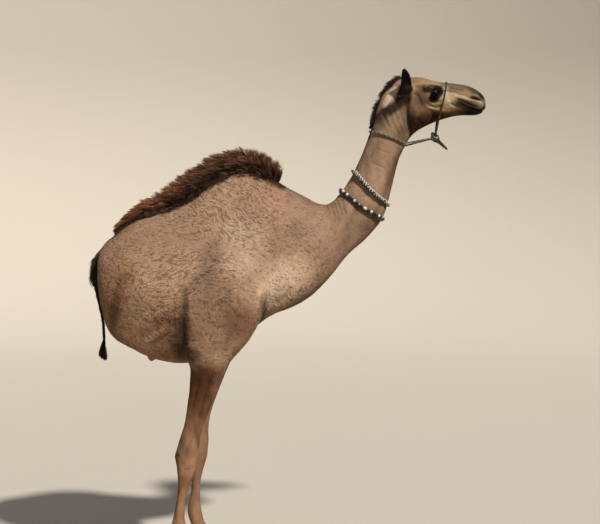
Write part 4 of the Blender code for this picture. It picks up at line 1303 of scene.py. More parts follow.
def room_inside(tree, starts, ways, spare):
    """How far each hair may run before it leaves the CAD's solid."""
    room = np.zeros(len(starts))
    for i, (start, way) in enumerate(zip(starts.tolist(), ways.tolist())):
        start, way = Vector(start), Vector(way)
        inside = start + way * spare
        exit_place = tree.ray_cast(inside, way)[0]
        room[i] = spare + (exit_place - inside).length if exit_place else spare
    return room


def locks(roots, size, random):
    """For each hair, the number of the hair that leads its lock."""
    leaders = random.choice(len(roots), max(4, int(len(roots) / size)), replace=False)
    nearest = np.empty(len(roots), int)
    for start in range(0, len(roots), 4000):
        away = np.linalg.norm(roots[start : start + 4000, None] - roots[leaders][None], axis=2)
        nearest[start : start + 4000] = leaders[away.argmin(1)]
    return nearest


def clumped(tips, lock, strength, random):
    """Draws the tips together, so that neighbouring hairs end in locks."""
    return tips + (tips[lock] - tips) * (strength * random.uniform(0.4, 1.0, len(tips)))[:, None]


def strands(
    name, roots, tips, width, measures, colours, random, bow=None, steps=4, waviness=0.05, tone=(0.6, 1.25)
):
    """Long hairs from roots to tips, bowed by a vector each and a little wavy. Two measures map them."""
    t = np.linspace(0, 1, steps)[None, :, None]
    lines = roots[:, None] * (1 - t) + tips[:, None] * t
    if bow is not None:
        lines = lines + bow[:, None] * (4 * t * (1 - t))
    length = np.linalg.norm(tips - roots, axis=1)
    wave = random.normal(0, 1, (len(roots), 1, 3)) * (waviness * length)[:, None, None]
    phase = random.uniform(0, math.tau, (len(roots), 1, 1))
    lines = lines + wave * np.sin(phase + 5.0 * t) * t
    facing = unit(random.normal(0, 1, (len(roots), 3)))
    sides = unit(np.cross(unit(tips - roots), facing))
    return blades(name, lines, sides, np.full(len(roots), width), spread_uv(*measures), colours, tone)


def spread_uv(values_u, values_v):
    """Map places from two measures of the roots' own places on the skin, filling the map."""
    both = np.stack([values_u, values_v], 1)
    low, high = both.min(0), both.max(0)
    return 0.01 + 0.98 * (both - low) / np.maximum(high - low, 1e-9)


def mane_core(name, node, skin_tree, share, sink, voxel):
    """The dense underhair of a mane: the CAD's solid, drawn in towards the skin and a little into it."""
    core = voxel_remesh(add_object(name, node.data.copy()), voxel)
    relaxer = Relaxer(core)
    points = relaxer.relax(read_points(core), 0.5, 6)
    for i, point in enumerate(points.tolist()):
        place, normal, _, away = skin_tree.find_nearest(Vector(point))
        height = away if (Vector(point) - place).dot(normal) > 0 else -away
        out = (Vector(point) - place) / height if away > 1e-5 else normal
        points[i] = place + out * (share * max(height, 0.0) + min(height, 0.0) - sink)
    write_points(core, relaxer.relax(points, 0.4, 2))
    return core


def crest_colours(roots, lock, wisp, random):
    rear = smoothstep(-0.05, -0.32, roots[:, 0])[:, None]
    colours = np.array(CREST_BROWN) * (1 - rear) + np.array(CREST_RED) * rear
    tone = random.uniform(0.35, 1.70, len(roots))
    shade = 0.55 * tone[lock] + 0.30 * tone[wisp] + 0.15 * tone
    # painted shade darkens the hair near the crest's base line; higher up it is lighter
    low, _ = along_path(side_view(roots), CREST_LINE)
    shade_reach = 0.014 + 0.026 * smoothstep(0.20, 0.05, np.abs(roots[:, 0] + 0.08))
    return colours * (shade * (0.22 + 0.95 * smoothstep(0.1, 1.0, low / shade_reach)))[:, None]


def hump_crest(core, node, random):
    """The shaggy hair along the hump, in locks swept back over its underhair."""
    roots, ups = even_roots(surface_of(core), CREST_STRANDS, random)
    lock, wisp = locks(roots, 100, random), locks(roots, 20, random)
    low, _ = along_path(side_view(roots), CREST_LINE)
    high = smoothstep(0.004, 0.060, low)[:, None]
    way = read_at(roots[:, 0], CREST_PLACES, CREST_WAYS)
    way = way[:, :2] * high + way[:, 2:] * (1 - high)
    ways = np.stack([way[:, 0], 0 * way[:, 0], way[:, 1]], 1)
    ways = ways - ups * np.minimum(np.sum(ways * ups, axis=1), 0.0)[:, None]
    stray = random.normal(0, 1, ways.shape)
    ways = unit(ways) + ups * 0.24 + 0.17 * stray[lock] + 0.09 * stray[wisp] + 0.05 * stray
    ways = unit(ways + 0.20 * wander(roots, 0.040, 61))
    room = room_inside(flesh_tree(node), roots, ways, 0.006)
    length = random.uniform(0.045, 0.095, len(roots)) * (1 - 0.40 * smoothstep(-0.20, -0.40, roots[:, 0]))
    front = smoothstep(0.18, 0.30, roots[:, 0])
    room = room + random.uniform(-0.006, 0.014 + 0.016 * front, len(roots))
    length = np.minimum(length, np.maximum(room, 0.022))
    tips = roots + ways * length[:, None]
    tips = clumped(clumped(tips, lock, 0.30, random), wisp, 0.50, random)
    bow = ups * (0.12 * length)[:, None] + np.array((0, 0, 0.05)) * length[:, None]
    colours = crest_colours(roots, lock, wisp, random)
    places = (roots[:, 0], roots[:, 1])
    roots = roots - ups * 0.002
    tone = (0.50, 1.35)
    return strands("crest_hair", roots, tips, 0.0024, places, colours, random, bow, steps=5, tone=tone)


def wander(points, size, seed):
    """A slowly changing vector for each point, so that neighbouring hairs turn alike."""
    return np.stack([noise(points, size, seed=seed + k) for k in range(3)], 1)


def crest_skirt(surface, random):
    """The crest's lowest hair, which lies back over the coat on either side, made far darker than the crest
    as painted shadow under it.
    """
    count = 6400

    def where(places):
        rear = smoothstep(-0.42, -0.50, places[:, 0])
        beside = np.maximum(np.abs(places[:, 1]) > 0.022, 1.6 * rear) * smoothstep(0.30, 0.24, places[:, 0])
        return near_line(places, CREST_LINE, 0.050 - 0.030 * rear, 0.050 - 0.020 * rear) * beside

    roots, ups = roots_near(surface, where, count, random)
    side = np.sign(roots[:, 1])
    rear = smoothstep(-0.38, -0.50, roots[:, 0])
    back = -0.85 + 0.75 * smoothstep(0.12, 0.24, roots[:, 0]) + 0.3 * rear
    ways = np.stack([back, side * 0.30, -0.25 - 0.5 * rear], 1)
    ways = ways + (ups * 0.22 + 0.60 * wander(roots, 0.030, 71)) * (1 - 0.7 * rear)[:, None]
    ways = unit(ways + random.normal(0, 0.14, ways.shape))
    length = random.uniform(0.010, 0.030, count) * (1 + 0.6 * noise(roots, 0.04, seed=75)) * (1 - 0.2 * rear)
    lock = locks(roots, 20, random)
    tips = clumped(roots + ways * length[:, None], lock, 0.45, random)
    shade = random.uniform(0.14, 0.46, count) * (1 + 1.2 * rear)
    colours = shaded(CREST_BROWN, 0.7 * shade[lock] + 0.3 * shade)
    return strands("crest_skirt", roots, tips, 0.0020, roots.T[:2], colours, random)


def nape_hair(core, node, random):
    """The ragged dark mane down the back of the neck."""
    roots, ups = even_roots(surface_of(core), NAPE_STRANDS, random)
    lock = locks(roots, 24, random)
    stray = random.normal(0, 1, ups.shape)
    ways = ups * 0.36 + np.array((-0.60, 0.0, -0.36)) + 0.20 * stray[lock] + 0.10 * stray
    ways = unit(ways + 0.45 * wander(roots, 0.030, 81))
    room = room_inside(flesh_tree(node), roots, ways, 0.004)
    spikes = 0.5 + 0.5 * np.clip(2.2 * noise(roots, 0.022, seed=85), -1, 1)
    length = np.maximum(room, 0.010) + random.uniform(-0.004, 0.005 + 0.022 * spikes, len(roots))
    length = np.minimum(length, random.uniform(0.020, 0.056, len(roots)))
    tips = clumped(roots + ways * length[:, None], lock, 0.42, random)
    bow = np.stack([-0.04 * length, 0 * length, 0.10 * length], 1)
    shade = random.uniform(0.8, 3.2, len(roots))
    colours = shaded(BLACK_BROWN, 0.6 * shade[lock] + 0.4 * shade)
    top = smoothstep(2.40, 2.50, roots[:, 2]) * random.uniform(0.0, 1.0, len(roots))
    colours = blend(colours, NAPE_TOP_BROWN, top)
    places = (roots[:, 2], roots[:, 1])
    return strands("nape_hair", roots - ups * 0.002, tips, 0.0015, places, colours, random, bow, steps=5)


TAIL_PATH = [
    (-0.560, 0, 1.648), (-0.584, 0, 1.622), (-0.600, 0, 1.578), (-0.609, 0, 1.526), (-0.611, 0, 1.472),
    (-0.605, 0, 1.405), (-0.592, 0, 1.343), (-0.578, 0, 1.275), (-0.573, 0, 1.215), (-0.571, 0, 1.165),
    (-0.574, 0, 1.120),
]


def tail_core():
    path = smooth_path(TAIL_PATH, 6)
    share = np.linspace(0, 1, len(path))
    return tube("tail_skin", path, 0.0050 * (1 - share) + 0.0046, ring=12, up=(0.0, 1.0, 0.0))


def tail_hair(random):
    """A fringe along the tail's upper back, short hair below it, and a tuft at its end."""
    path = smooth_path(TAIL_PATH, 12)
    count = 6400
    place = random.beta(1.0, 1.2, count) * 0.97
    index = place * (len(path) - 1)
    turn = random.uniform(0, math.tau, count)
    core = 0.0044 * (1 - place) + 0.0038
    around = np.stack([np.cos(turn), 0.95 * np.sin(turn), 0 * turn], 1)
    roots = read_at(index, np.arange(len(path)), path) + around * core[:, None]
    down = read_at(index, np.arange(len(path)), ways_along(path))
    behind = smoothstep(0.5, -0.5, np.cos(turn))
    fringe = smoothstep(0.50, 0.30, place) * smoothstep(0.05, 0.17, place) * behind
    ways = down + around * 0.17 + np.array((-0.48, 0, -0.10)) * fringe[:, None]
    ways = ways + 0.15 * wander(roots, 0.02, 91)
    ways = unit(ways + random.normal(0, 0.05, ways.shape))
    length = (0.018 + 0.040 * fringe) * random.uniform(0.5, 1.15, count)
    tips = clumped(roots + ways * length[:, None], locks(roots, 14, random), 0.30, random)
    bow = np.array((-0.12, 0, 0.02)) * (length * fringe)[:, None]
    colours = shaded(BLACK_BROWN, random.uniform(1.0, 3.2, count) * (1 + 0.6 * fringe))
    colours = blend(colours, BROWN, smoothstep(0.16, 0.03, place))
    hair = strands("tail_fringe", roots, tips, 0.0018, (place, turn), colours, random, bow, steps=5)
    return [hair, tail_end(random)]


def tail_end(random):
    """The ragged tuft, fanned out backward."""
    count = 3000
    height = 1.168 - 0.060 * random.beta(1.2, 1.0, count)
    turn = random.uniform(0, math.tau, count)
    roots = np.stack([-0.573 + 0.0045 * np.cos(turn), 0.00405 * np.sin(turn), height], 1)
    fan = random.random(count)
    low = 1.060 + 0.026 * fan**2 + random.exponential(0.007, count)
    drop = np.clip(height - low, 0.010, None)
    share = np.clip(drop / 0.095, 0.25, 1.0)
    tips = np.stack([-0.573 + (0.021 - 0.058 * fan) * share, 0.022 * np.sin(turn) * share, height - drop], 1)
    tips = clumped(tips, locks(tips, 45, random), 0.70, random)
    bow = np.stack([-0.06 * drop * fan, 0.06 * drop * np.sin(turn), 0 * fan], 1)
    colours = shaded(BLACK_BROWN, random.uniform(0.8, 2.6, count))
    return strands("tail_tuft_hair", roots, tips, 0.0017, (height, turn), colours, random, bow, steps=5)


def lashes(side, random):
    """Long upper and shorter lower eyelashes."""
    middle = np.array(eye_middle(side))
    out, forward, up = (np.array(axis) for axis in eye_axes(side))
    upper = random.uniform(0.12, math.pi - 0.12, 300)
    angle = np.concatenate([upper, random.uniform(math.pi, math.tau, 120)])
    count = len(angle)
    above = np.sin(angle) > 0
    outline = np.array([almond(a, 0.0195, 0.0130, 0.0095) for a in angle])
    way = unit(out * 0.0200 + forward * outline[:, :1] + up * outline[:, 1:])
    roots = middle + way * (EYE_RADIUS + 0.0030)
    length = np.where(above, random.uniform(0.016, 0.027, count), random.uniform(0.007, 0.012, count))
    reach = out * 0.85 + forward * (outline[:, :1] * 22) + up * np.where(above, -0.35, -0.55)[:, None]
    tips = roots + unit(reach) * length[:, None]
    bow = (out * 0.10 + up * 0.16) * (length * np.where(above, 1.0, -0.2))[:, None]
    colours = shaded(BLACK_BROWN, np.full(count, 0.7))
    measures = (angle, np.linalg.norm(outline, axis=1))
    name = named("lashes", side)
    return strands(name, roots, tips, 0.0011, measures, colours, random, bow, steps=6, waviness=0.02)


def ear_hair(side, random):
    """Hair out of the ear's hollow and along its rim."""
    count = 2000
    matrix = ear_frame(side)
    t = random.uniform(0.04, 0.98, count)
    rim = random.random(count) < 0.25
    at_rim = random.choice([-1, 1], count) * random.uniform(0.95, 1.15, count)
    angle = np.where(rim, at_rim, random.uniform(-0.95, 0.95, count))
    roots = moved(np.array([ear_section(a, side, b, True) for a, b in zip(t, angle)]), matrix)
    way = np.stack([0.26 + 0 * t, 0.12 * np.sin(angle), 0.95 + 0 * t], 1) + random.normal(0, 0.12, (count, 3))
    ways = unit(way) @ matrix[:3, :3].T
    length = random.uniform(0.005, 0.012, count) * (1 - 0.45 * t) * np.where(rim, 0.7, 1.0)
    tips = roots + ways * length[:, None]
    colours = shaded(BLACK_BROWN, random.uniform(0.6, 1.8, count))
    return strands(named("ear_hair", side), roots, tips, 0.0013, (t, angle), colours, random)


def chin_hair(surface, random):
    """Whiskers and short beard on the lips and chin."""
    count = 800

    def where(places):
        x, _, z = places.T
        lips = smoothstep(1.24, 1.30, x) * smoothstep(2.37, 2.34, z)
        return lips + 0.4 * smoothstep(1.35, 1.37, x) * smoothstep(2.41, 2.38, z)

    roots, ups = roots_near(surface, where, count, random)
    ways = unit(ups + np.array((-0.15, 0, -0.75)) + random.normal(0, 0.25, (count, 3)))
    length = random.uniform(0.002, 0.006, count)
    tips = roots + ways * length[:, None]
    bow = np.array((0, 0, 0.10)) * length[:, None]
    colours = shaded(BLACK_BROWN, random.uniform(0.7, 2.5, count))
    return strands("chin_hair", roots, tips, 0.0008, roots.T[:2], colours, random, bow)


# ---------------------------------------------------------------- materials
def add(tree, kind, inputs=None, **settings):
    """A node with its settings, and its inputs given as numbers or as other nodes' outputs."""
    made = tree.nodes.new(kind)
    for key, value in settings.items():
        setattr(made, key, value)
    for name, value in (inputs or {}).items():
        socket = made.inputs[name]
        if isinstance(value, bpy.types.NodeSocket):
            tree.links.new(value, socket)
        else:
            socket.default_value = value
    return made


def new_material(name, **constants):
    made = bpy.data.materials.new(name)
    made.use_nodes = True
    shader = made.node_tree.nodes["Principled BSDF"]
    for key, value in constants.items():
        shader.inputs[key.replace("_", " ").title().replace("Ior", "IOR")].default_value = value
    return made, made.node_tree, shader


def ramp(tree, factor, stops):
    made = add(tree, "ShaderNodeValToRGB", {"Fac": factor})
    elements = made.color_ramp.elements
    while len(elements) < len(stops):
        elements.new(0.5)
    for element, (place, colour) in zip(elements, stops):
        element.position = place
        element.color = (*colour, 1.0) if isinstance(colour, (tuple, list)) else (colour, colour, colour, 1.0)
    return made.outputs["Color"]


def mix_colours(tree, a, b, factor, how="MIX"):
    made = add(tree, "ShaderNodeMix", data_type="RGBA", blend_type=how)
    for socket, value in ((made.inputs[0], factor), (made.inputs[6], a), (made.inputs[7], b)):
        if isinstance(value, bpy.types.NodeSocket):
            tree.links.new(value, socket)
        else:
            socket.default_value = value if isinstance(value, (int, float)) else (*value, 1.0)
    return made.outputs[2]


def multiplied(tree, a, b):
    return mix_colours(tree, a, b, 1.0, "MULTIPLY")


def attribute(tree, name, output="Color"):
    return add(tree, "ShaderNodeAttribute", attribute_name=name).outputs[output]


def place_node(tree):
    return add(tree, "ShaderNodeTexCoord").outputs["Object"]


def noise_node(tree, place, scale, detail=3.0, stretch=None):
    if stretch:
        place = add(tree, "ShaderNodeMapping", {"Vector": place, "Scale": stretch}).outputs["Vector"]
    inputs = {"Vector": place, "Scale": scale, "Detail": detail, "Roughness": 0.55}
    return add(tree, "ShaderNodeTexNoise", inputs).outputs["Fac"]


def bump(tree, shader, height, strength, distance):
    made = add(tree, "ShaderNodeBump", {"Height": height, "Strength": strength, "Distance": distance})
    tree.links.new(made.outputs["Normal"], shader.inputs["Normal"])


def fur_material(name, roughness, fine_scale):
    """Hair and hide: the animal's colours with their painted shade and highlights, broken up finely along the
    fur.
    """
    made, tree, shader = new_material(
        name, roughness=roughness, specular_ior_level=0.10, sheen_weight=0.02, sheen_roughness=0.5
    )
    place = place_node(tree)
    grain = noise_node(tree, place, fine_scale, stretch=(1.0, 1.0, 0.45))
    cloud = noise_node(tree, place, 34.0, detail=2.0)
    tone = mix_colours(tree, (0.82,) * 3, (1.16,) * 3, grain)
    colour = multiplied(tree, attribute(tree, "marking"), tone)
    colour = multiplied(tree, colour, ramp(tree, cloud, [(0.3, 0.90), (0.7, 1.0)]))
    tree.links.new(colour, shader.inputs["Base Color"])
    bump(tree, shader, grain, 0.5, 0.0010)
    return made


def long_hair_material(name, roughness):
    made, tree, shader = new_material(name, roughness=roughness, specular_ior_level=0.20)
    streak = noise_node(tree, place_node(tree), 120.0, detail=2.0)
    tone = ramp(tree, streak, [(0.35, 0.70), (0.65, 1.0)])
    tree.links.new(multiplied(tree, attribute(tree, "marking"), tone), shader.inputs["Base Color"])
    return made


def eye_material():
    """A near-black brown iris with a long level pupil, under a wet clear surface."""
    made, tree, shader = new_material(
        "eye_glass", roughness=0.12, specular_ior_level=0.6, coat_weight=1.0, coat_roughness=0.02
    )
    fibres = noise_node(tree, place_node(tree), 900.0, stretch=(1.0, 1.0, 1.0))
    iris = mix_colours(tree, (0.030, 0.014, 0.006), (0.085, 0.042, 0.018), fibres)
    white = ramp(tree, attribute(tree, "from_gaze", "Fac"), [(0.52, 0.0), (0.62, 1.0)])
    colour = mix_colours(tree, iris, (0.030, 0.018, 0.014), white)
    pupil = ramp(tree, attribute(tree, "from_pupil", "Fac"), [(0.85, 0.0), (1.0, 1.0)])
    colour = mix_colours(tree, (0.002, 0.002, 0.002), colour, pupil)
    tree.links.new(colour, shader.inputs["Base Color"])
    return made


def horn_material():
    made, tree, shader = new_material("nail_horn", roughness=0.45)
    bands = noise_node(tree, place_node(tree), 160.0, stretch=(1.0, 1.0, 3.5))
    colour = ramp(tree, bands, [(0.3, (0.035, 0.026, 0.020)), (0.7, (0.110, 0.085, 0.062))])
    tree.links.new(colour, shader.inputs["Base Color"])
    tree.links.new(ramp(tree, bands, [(0.3, 0.55), (0.7, 0.35)]), shader.inputs["Roughness"])
    bump(tree, shader, bands, 0.5, 0.0008)
    return made


def rope_material():
    """Old dark hair-and-jute rope: fibres along the strands, dust on their crowns."""
    made, tree, shader = new_material("rope_fibre", roughness=0.85, sheen_weight=0.03)
    place = place_node(tree)
    fibre = noise_node(tree, place, 520.0, detail=4.0)
    dust = noise_node(tree, place, 45.0)
    colour = multiplied(tree, attribute(tree, "marking"), ramp(tree, fibre, [(0.30, 0.45), (0.70, 1.0)]))
    colour = mix_colours(tree, colour, (0.26, 0.185, 0.130), ramp(tree, dust, [(0.55, 0.0), (0.80, 0.30)]))
    tree.links.new(colour, shader.inputs["Base Color"])
    bump(tree, shader, fibre, 0.9, 0.0012)
    return made


def bead_material():
    made, tree, shader = new_material("bead_glaze", roughness=0.30)
    wear = noise_node(tree, place_node(tree), 240.0, detail=4.0)
    colour = multiplied(tree, attribute(tree, "marking"), ramp(tree, wear, [(0.35, 0.62), (0.60, 1.0)]))
    tree.links.new(colour, shader.inputs["Base Color"])
    tree.links.new(ramp(tree, wear, [(0.35, 0.55), (0.65, 0.24)]), shader.inputs["Roughness"])
    return made


def base_material():
    """A painted and sanded plinth: fine stipple, a little wear along its edges."""
    made, tree, shader = new_material("base_paint", roughness=0.62)
    place = place_node(tree)
    stipple = noise_node(tree, place, 380.0, detail=5.0)
    cloud = noise_node(tree, place, 3.2, detail=4.0)
    colour = mix_colours(tree, (0.500, 0.430, 0.340), (0.590, 0.520, 0.425), cloud)
    colour = multiplied(tree, colour, ramp(tree, stipple, [(0.32, 0.72), (0.52, 1.0)]))
    edge = add(tree, "ShaderNodeNewGeometry").outputs["Pointiness"]
    colour = mix_colours(tree, colour, (0.66, 0.60, 0.51), ramp(tree, edge, [(0.50, 0.0), (0.56, 1.0)]))
    tree.links.new(colour, shader.inputs["Base Color"])
    tree.links.new(ramp(tree, cloud, [(0.3, 0.72), (0.7, 0.52)]), shader.inputs["Roughness"])
    bump(tree, shader, stipple, 0.35, 0.0010)
    return made


def floor_material():
    made, tree, shader = new_material("floor_paint", roughness=0.9)
    cloud = noise_node(tree, place_node(tree), 0.7)
    colour = mix_colours(tree, tuple(0.96 * c for c in FLOOR_COLOUR), FLOOR_COLOUR, cloud)
    tree.links.new(colour, shader.inputs["Base Color"])
    return made


def dress(obj, material):
    obj.data.materials.clear()
    obj.data.materials.append(material)
    return obj


# ---------------------------------------------------------------- eyes
def eye_ball(side):
    """The eyeball with its clear bulging front."""
    made = ball(named("eyeball", side), EYE_RADIUS, segments=48, rings=32)
    points = read_points(made)
    points[:, 2] += 0.0016 * smoothstep(0.62, 0.90, points[:, 2] / EYE_RADIUS)
    x, y, z = points.T
    add_number(made, "from_gaze", np.where(z > 0, np.hypot(x, y) / EYE_RADIUS, 1.0))
    add_number(made, "from_pupil", np.hypot(x / 0.0065, y / 0.0032) + 9.0 * (z <= 0))
    out, forward, up = (np.array(axis) for axis in eye_axes(side))
    world = points[:, :1] * forward + points[:, 1:2] * up + points[:, 2:] * out + np.array(eye_middle(side))
    write_points(made, world)
    face_outward(made)
    shade_smooth(made.data)
    return made


# ---------------------------------------------------------------- halter and necklaces
ROPE_RADIUS = 0.0043
KNOT_MIDDLE = Vector((1.126, 0.0, 2.204))
KNOT_TURNS = [  # radius, stretch, tilt and turn in degrees, and shift from the knot's middle
    (0.0165, 1.15, 78, 10, (0.000, 0.000, 0.000)),
    (0.0150, 1.10, 62, 75, (-0.006, 0.000, 0.004)),
    (0.0150, 1.30, 20, 35, (-0.002, 0.000, -0.010)),
    (0.0140, 1.20, 96, -40, (0.006, 0.001, -0.006)),
    (0.0130, 1.20, 50, 130, (-0.006, 0.000, 0.014)),
    (0.0120, 1.10, 84, 60, (-0.010, 0.000, -0.004)),
]
ROPE_END = [(1.118, 0.004, 2.206), (1.134, 0.002, 2.192), (1.156, -0.004, 2.174), (1.178, -0.006, 2.153)]
NECK_LOOP = {"middle": (0.885, 0.0, 2.202), "lean": -20, "free": 24, "spread": 0.012, "count": 40,
             "far_drop": 0.018}
NOSE_LOOP = {"middle": (1.160, 0.0, 2.390), "lean": -103, "free": 32, "spread": 0.008, "count": 30,
             "far_drop": 0.0}
UPPER_STRING = {"middle": (0.805, 0.0, 1.945), "lean": -44}
LOWER_STRING = {"middle": (0.755, 0.0, 1.865), "lean": -34}
STRING_SAG = 0.016
ROPE_COLOURS = [(0.160, 0.108, 0.076), (0.030, 0.018, 0.012), (0.060, 0.037, 0.025)]
NECK_ROPE_COLOURS = [(0.330, 0.285, 0.255), (0.060, 0.045, 0.036), (0.160, 0.130, 0.110)]
KNOT_COLOURS = [(0.330, 0.290, 0.240), (0.030, 0.024, 0.022), (0.240, 0.210, 0.175)]
# dark wool of the necklaces' cords, which also stand in for the band of shade under the beads
WOOL_COLOURS = [(0.030, 0.019, 0.015), (0.045, 0.028, 0.020), (0.022, 0.014, 0.012)]
BEAD_WHITE = (0.74, 0.70, 0.60)
BEAD_BLACK = (0.020, 0.017, 0.016)
BEAD_PATTERN = [  # of the lower string: radius, half length, colour
    (0.0090, 0.0074, BEAD_WHITE), (0.0074, 0.0090, BEAD_BLACK), (0.0074, 0.0090, BEAD_BLACK),
    (0.0086, 0.0070, BEAD_WHITE), (0.0074, 0.0095, BEAD_BLACK), (0.0050, 0.0034, BEAD_WHITE),
    (0.0074, 0.0095, BEAD_BLACK), (0.0080, 0.0120, BEAD_WHITE), (0.0074, 0.0090, BEAD_BLACK),
]
BEAD_GAP = 0.0006
BEAD_STEP = 0.0010  # of the path along which the beads are laid out


def ring_on(tree, middle, lean, clearance, count, start=0.0, stretch=math.tau, sag=0.0):
    """Points round the body at a plane that leans in the plane of symmetry. Angle 0 is its front.
    The sides of the ring hang lower than the plane by the sag."""
    lean = math.radians(lean)
    middle = Vector(middle) + Vector((0, 0.0007, 0))
    forward = Vector((math.cos(lean), 0, math.sin(lean)))
    down = Vector((math.sin(lean), 0, -math.cos(lean)))
    points = []
    for i in range(count):
        angle = start + stretch * i / (count if stretch == math.tau else count - 1)
        way = forward * math.cos(angle) + Vector((0, 1, 0)) * math.sin(angle)
        hit = tree.ray_cast(middle + down * sag * math.sin(angle) ** 2, way)[0]
        points.append(hit + way * clearance)
    return np.array(points)


def even_steps(path, step, closed=False):
    """The path's points resampled at equal steps."""
    path = np.vstack([path, path[:1]]) if closed else path
    reach = reach_along(path)
    count = max(4, int(round(reach[-1] / step)))
    return read_at(np.linspace(0, reach[-1], count, endpoint=not closed), reach, path)


def path_frames(path, closed=False):
    """The two sides square to a path at each of its points, carried along it without twist."""
    along = ways_along(path, closed)
    side = np.cross(along[0], (0.3, 0.9, 0.2))
    sides = []
    for way in along:
        side = side - way * side.dot(way)
        side = side / np.linalg.norm(side)
        sides.append(side)
    return np.array(sides), np.cross(along, sides)


def wound_round(path, phase, radius, closed=False):
    """A line wound round a path at a radius, by its phase at each point."""
    sides, rises = path_frames(path, closed)
    offset = sides * np.cos(phase)[:, None] + rises * np.sin(phase)[:, None]
    return path + offset * np.broadcast_to(radius, len(path))[:, None]


def twisted_rope(name, path, radius, pitch, colours, closed=False):
    """A laid rope, with a ply of each colour wound round its path."""
    path = even_steps(path, radius * 0.55, closed)
    reach = reach_along(path)
    turns = max(1, round(reach[-1] / pitch))
    parts = []
    for ply, colour in enumerate(colours):
        phase = math.tau * (turns * reach / reach[-1] + ply / len(colours))
        centre = wound_round(path, phase, 0.52 * radius, closed)
        part = tube(name, centre, 0.56 * radius, ring=7, closed=closed, up=(0.13, 0.31, 0.94))
        add_colours(part, colour)
        parts.append(part)
    return join(name, parts)


def join(name, parts):
    """Joins objects into one, and keeps their colours."""
    bpy.ops.object.select_all(action="DESELECT")
    for part in parts:
        part.select_set(True)
    bpy.context.view_layer.objects.active = parts[0]
    bpy.ops.object.join()
    parts[0].name = name
    return parts[0]


def loop_path(tree, loop, clearance):
    """A rope's way round the head or neck, from the knot and back to it."""
    free = math.radians(loop["free"])
    stretch = math.tau - 2 * free
    ring = ring_on(tree, loop["middle"], loop["lean"], clearance, loop["count"], free, stretch)
    for _ in range(2):
        ring[1:-1] = (ring[:-2] + 2 * ring[1:-1] + ring[2:]) / 4
    far = smoothstep(0.0, 0.05, ring[:, 1]) * smoothstep(0.92, 1.0, ring[:, 0])
    ring[:, 2] -= loop["far_drop"] * far
    start = np.array(KNOT_MIDDLE + Vector((0, loop["spread"], 0)))
    stop = np.array(KNOT_MIDDLE - Vector((0, loop["spread"], 0)))
    return smooth_path(np.vstack([start, ring, stop]), 4)


def knot_loop(radius, stretch, tilt, turn, shift):
    """One turn of the knot's rope."""
    angle = np.linspace(0, math.tau, 28, endpoint=False)
    ring = np.stack([radius * stretch * np.cos(angle), radius * np.sin(angle), 0.003 * np.sin(2 * angle)], 1)
    matrix = Matrix.Rotation(math.radians(turn), 3, "Z") @ Matrix.Rotation(math.radians(tilt), 3, "X")
    return ring @ np.array(matrix).T + np.array(KNOT_MIDDLE + Vector(shift))


def rope_fuzz(rope, count, random):
    """Loose fibres that stand off a rope."""
    points, normals = read_points(rope), read_normals(rope)
    picked = random.choice(len(points), count)
    roots = points[picked]
    ways = unit(normals[picked] + random.normal(0, 0.7, (count, 3)))
    tips = roots + ways * random.uniform(0.003, 0.009, (count, 1))
    colours = shaded(ROPE_COLOURS[2], random.uniform(0.6, 1.6, count))
    return strands(rope.name + "_fuzz", roots, tips, 0.0005, (roots[:, 0], roots[:, 2]), colours, random)


def make_halter(tree, random):
    neck = loop_path(tree, NECK_LOOP, ROPE_RADIUS + 0.0030)
    nose = loop_path(tree, NOSE_LOOP, ROPE_RADIUS + 0.0015)
    end = smooth_path(ROPE_END, 8)
    parts = [
        twisted_rope("neck_rope", neck, ROPE_RADIUS, 0.026, NECK_ROPE_COLOURS),
        twisted_rope("nose_rope", nose, ROPE_RADIUS, 0.026, ROPE_COLOURS),
        twisted_rope("rope_end", end, ROPE_RADIUS * 1.10, 0.024, KNOT_COLOURS),
    ]
    for k, turn in enumerate(KNOT_TURNS):
        colours = KNOT_COLOURS if k % 2 else ROPE_COLOURS
        parts.append(twisted_rope("knot", knot_loop(*turn), ROPE_RADIUS, 0.022, colours, closed=True))
    rope = join("halter_rope", parts)
    frayed = frayed_end(end[6:], random)
    return [rope, rope_fuzz(rope, 2200, random), frayed]


def frayed_end(path, random):
    """The rope's short end, its plies combed out into a tapering bundle."""
    count = 1500
    path = even_steps(path, 0.002)
    place = random.uniform(0.0, 0.90, count)
    index = place * (len(path) - 1)
    middle = read_at(index, np.arange(len(path)), path)
    way = read_at(index, np.arange(len(path)), ways_along(path))
    out = random.normal(0, 1, (count, 3))
    out = unit(out - way * np.sum(out * way, axis=1, keepdims=True))
    thick = 0.0100 * (1 - 0.60 * place)
    roots = middle + out * (thick * random.uniform(0.55, 1.0, count))[:, None]
    ways = unit(way - out * 0.10 + 0.14 * random.normal(0, 1, (count, 3)))
    tips = roots + ways * random.uniform(0.014, 0.030, (count, 1))
    tips = clumped(tips, locks(roots, 30, random), 0.35, random)
    colours = np.array(KNOT_COLOURS)[locks(roots, 50, random) % 3] * random.uniform(0.6, 1.3, count)[:, None]
    colours = blend(colours, KNOT_COLOURS[1], smoothstep(0.6, 0.9, place))
    return strands("rope_fray", roots, tips, 0.0013, roots.T[:2], colours, random)


def ball_template():
    bm = bmesh.new()
    bmesh.ops.create_uvsphere(bm, u_segments=12, v_segments=8, radius=1.0)
    bmesh.ops.triangulate(bm, faces=bm.faces)
    points = np.array([v.co for v in bm.verts])
    faces = np.array([[v.index for v in f.verts] for f in bm.faces])
    bm.free()
    return points, faces


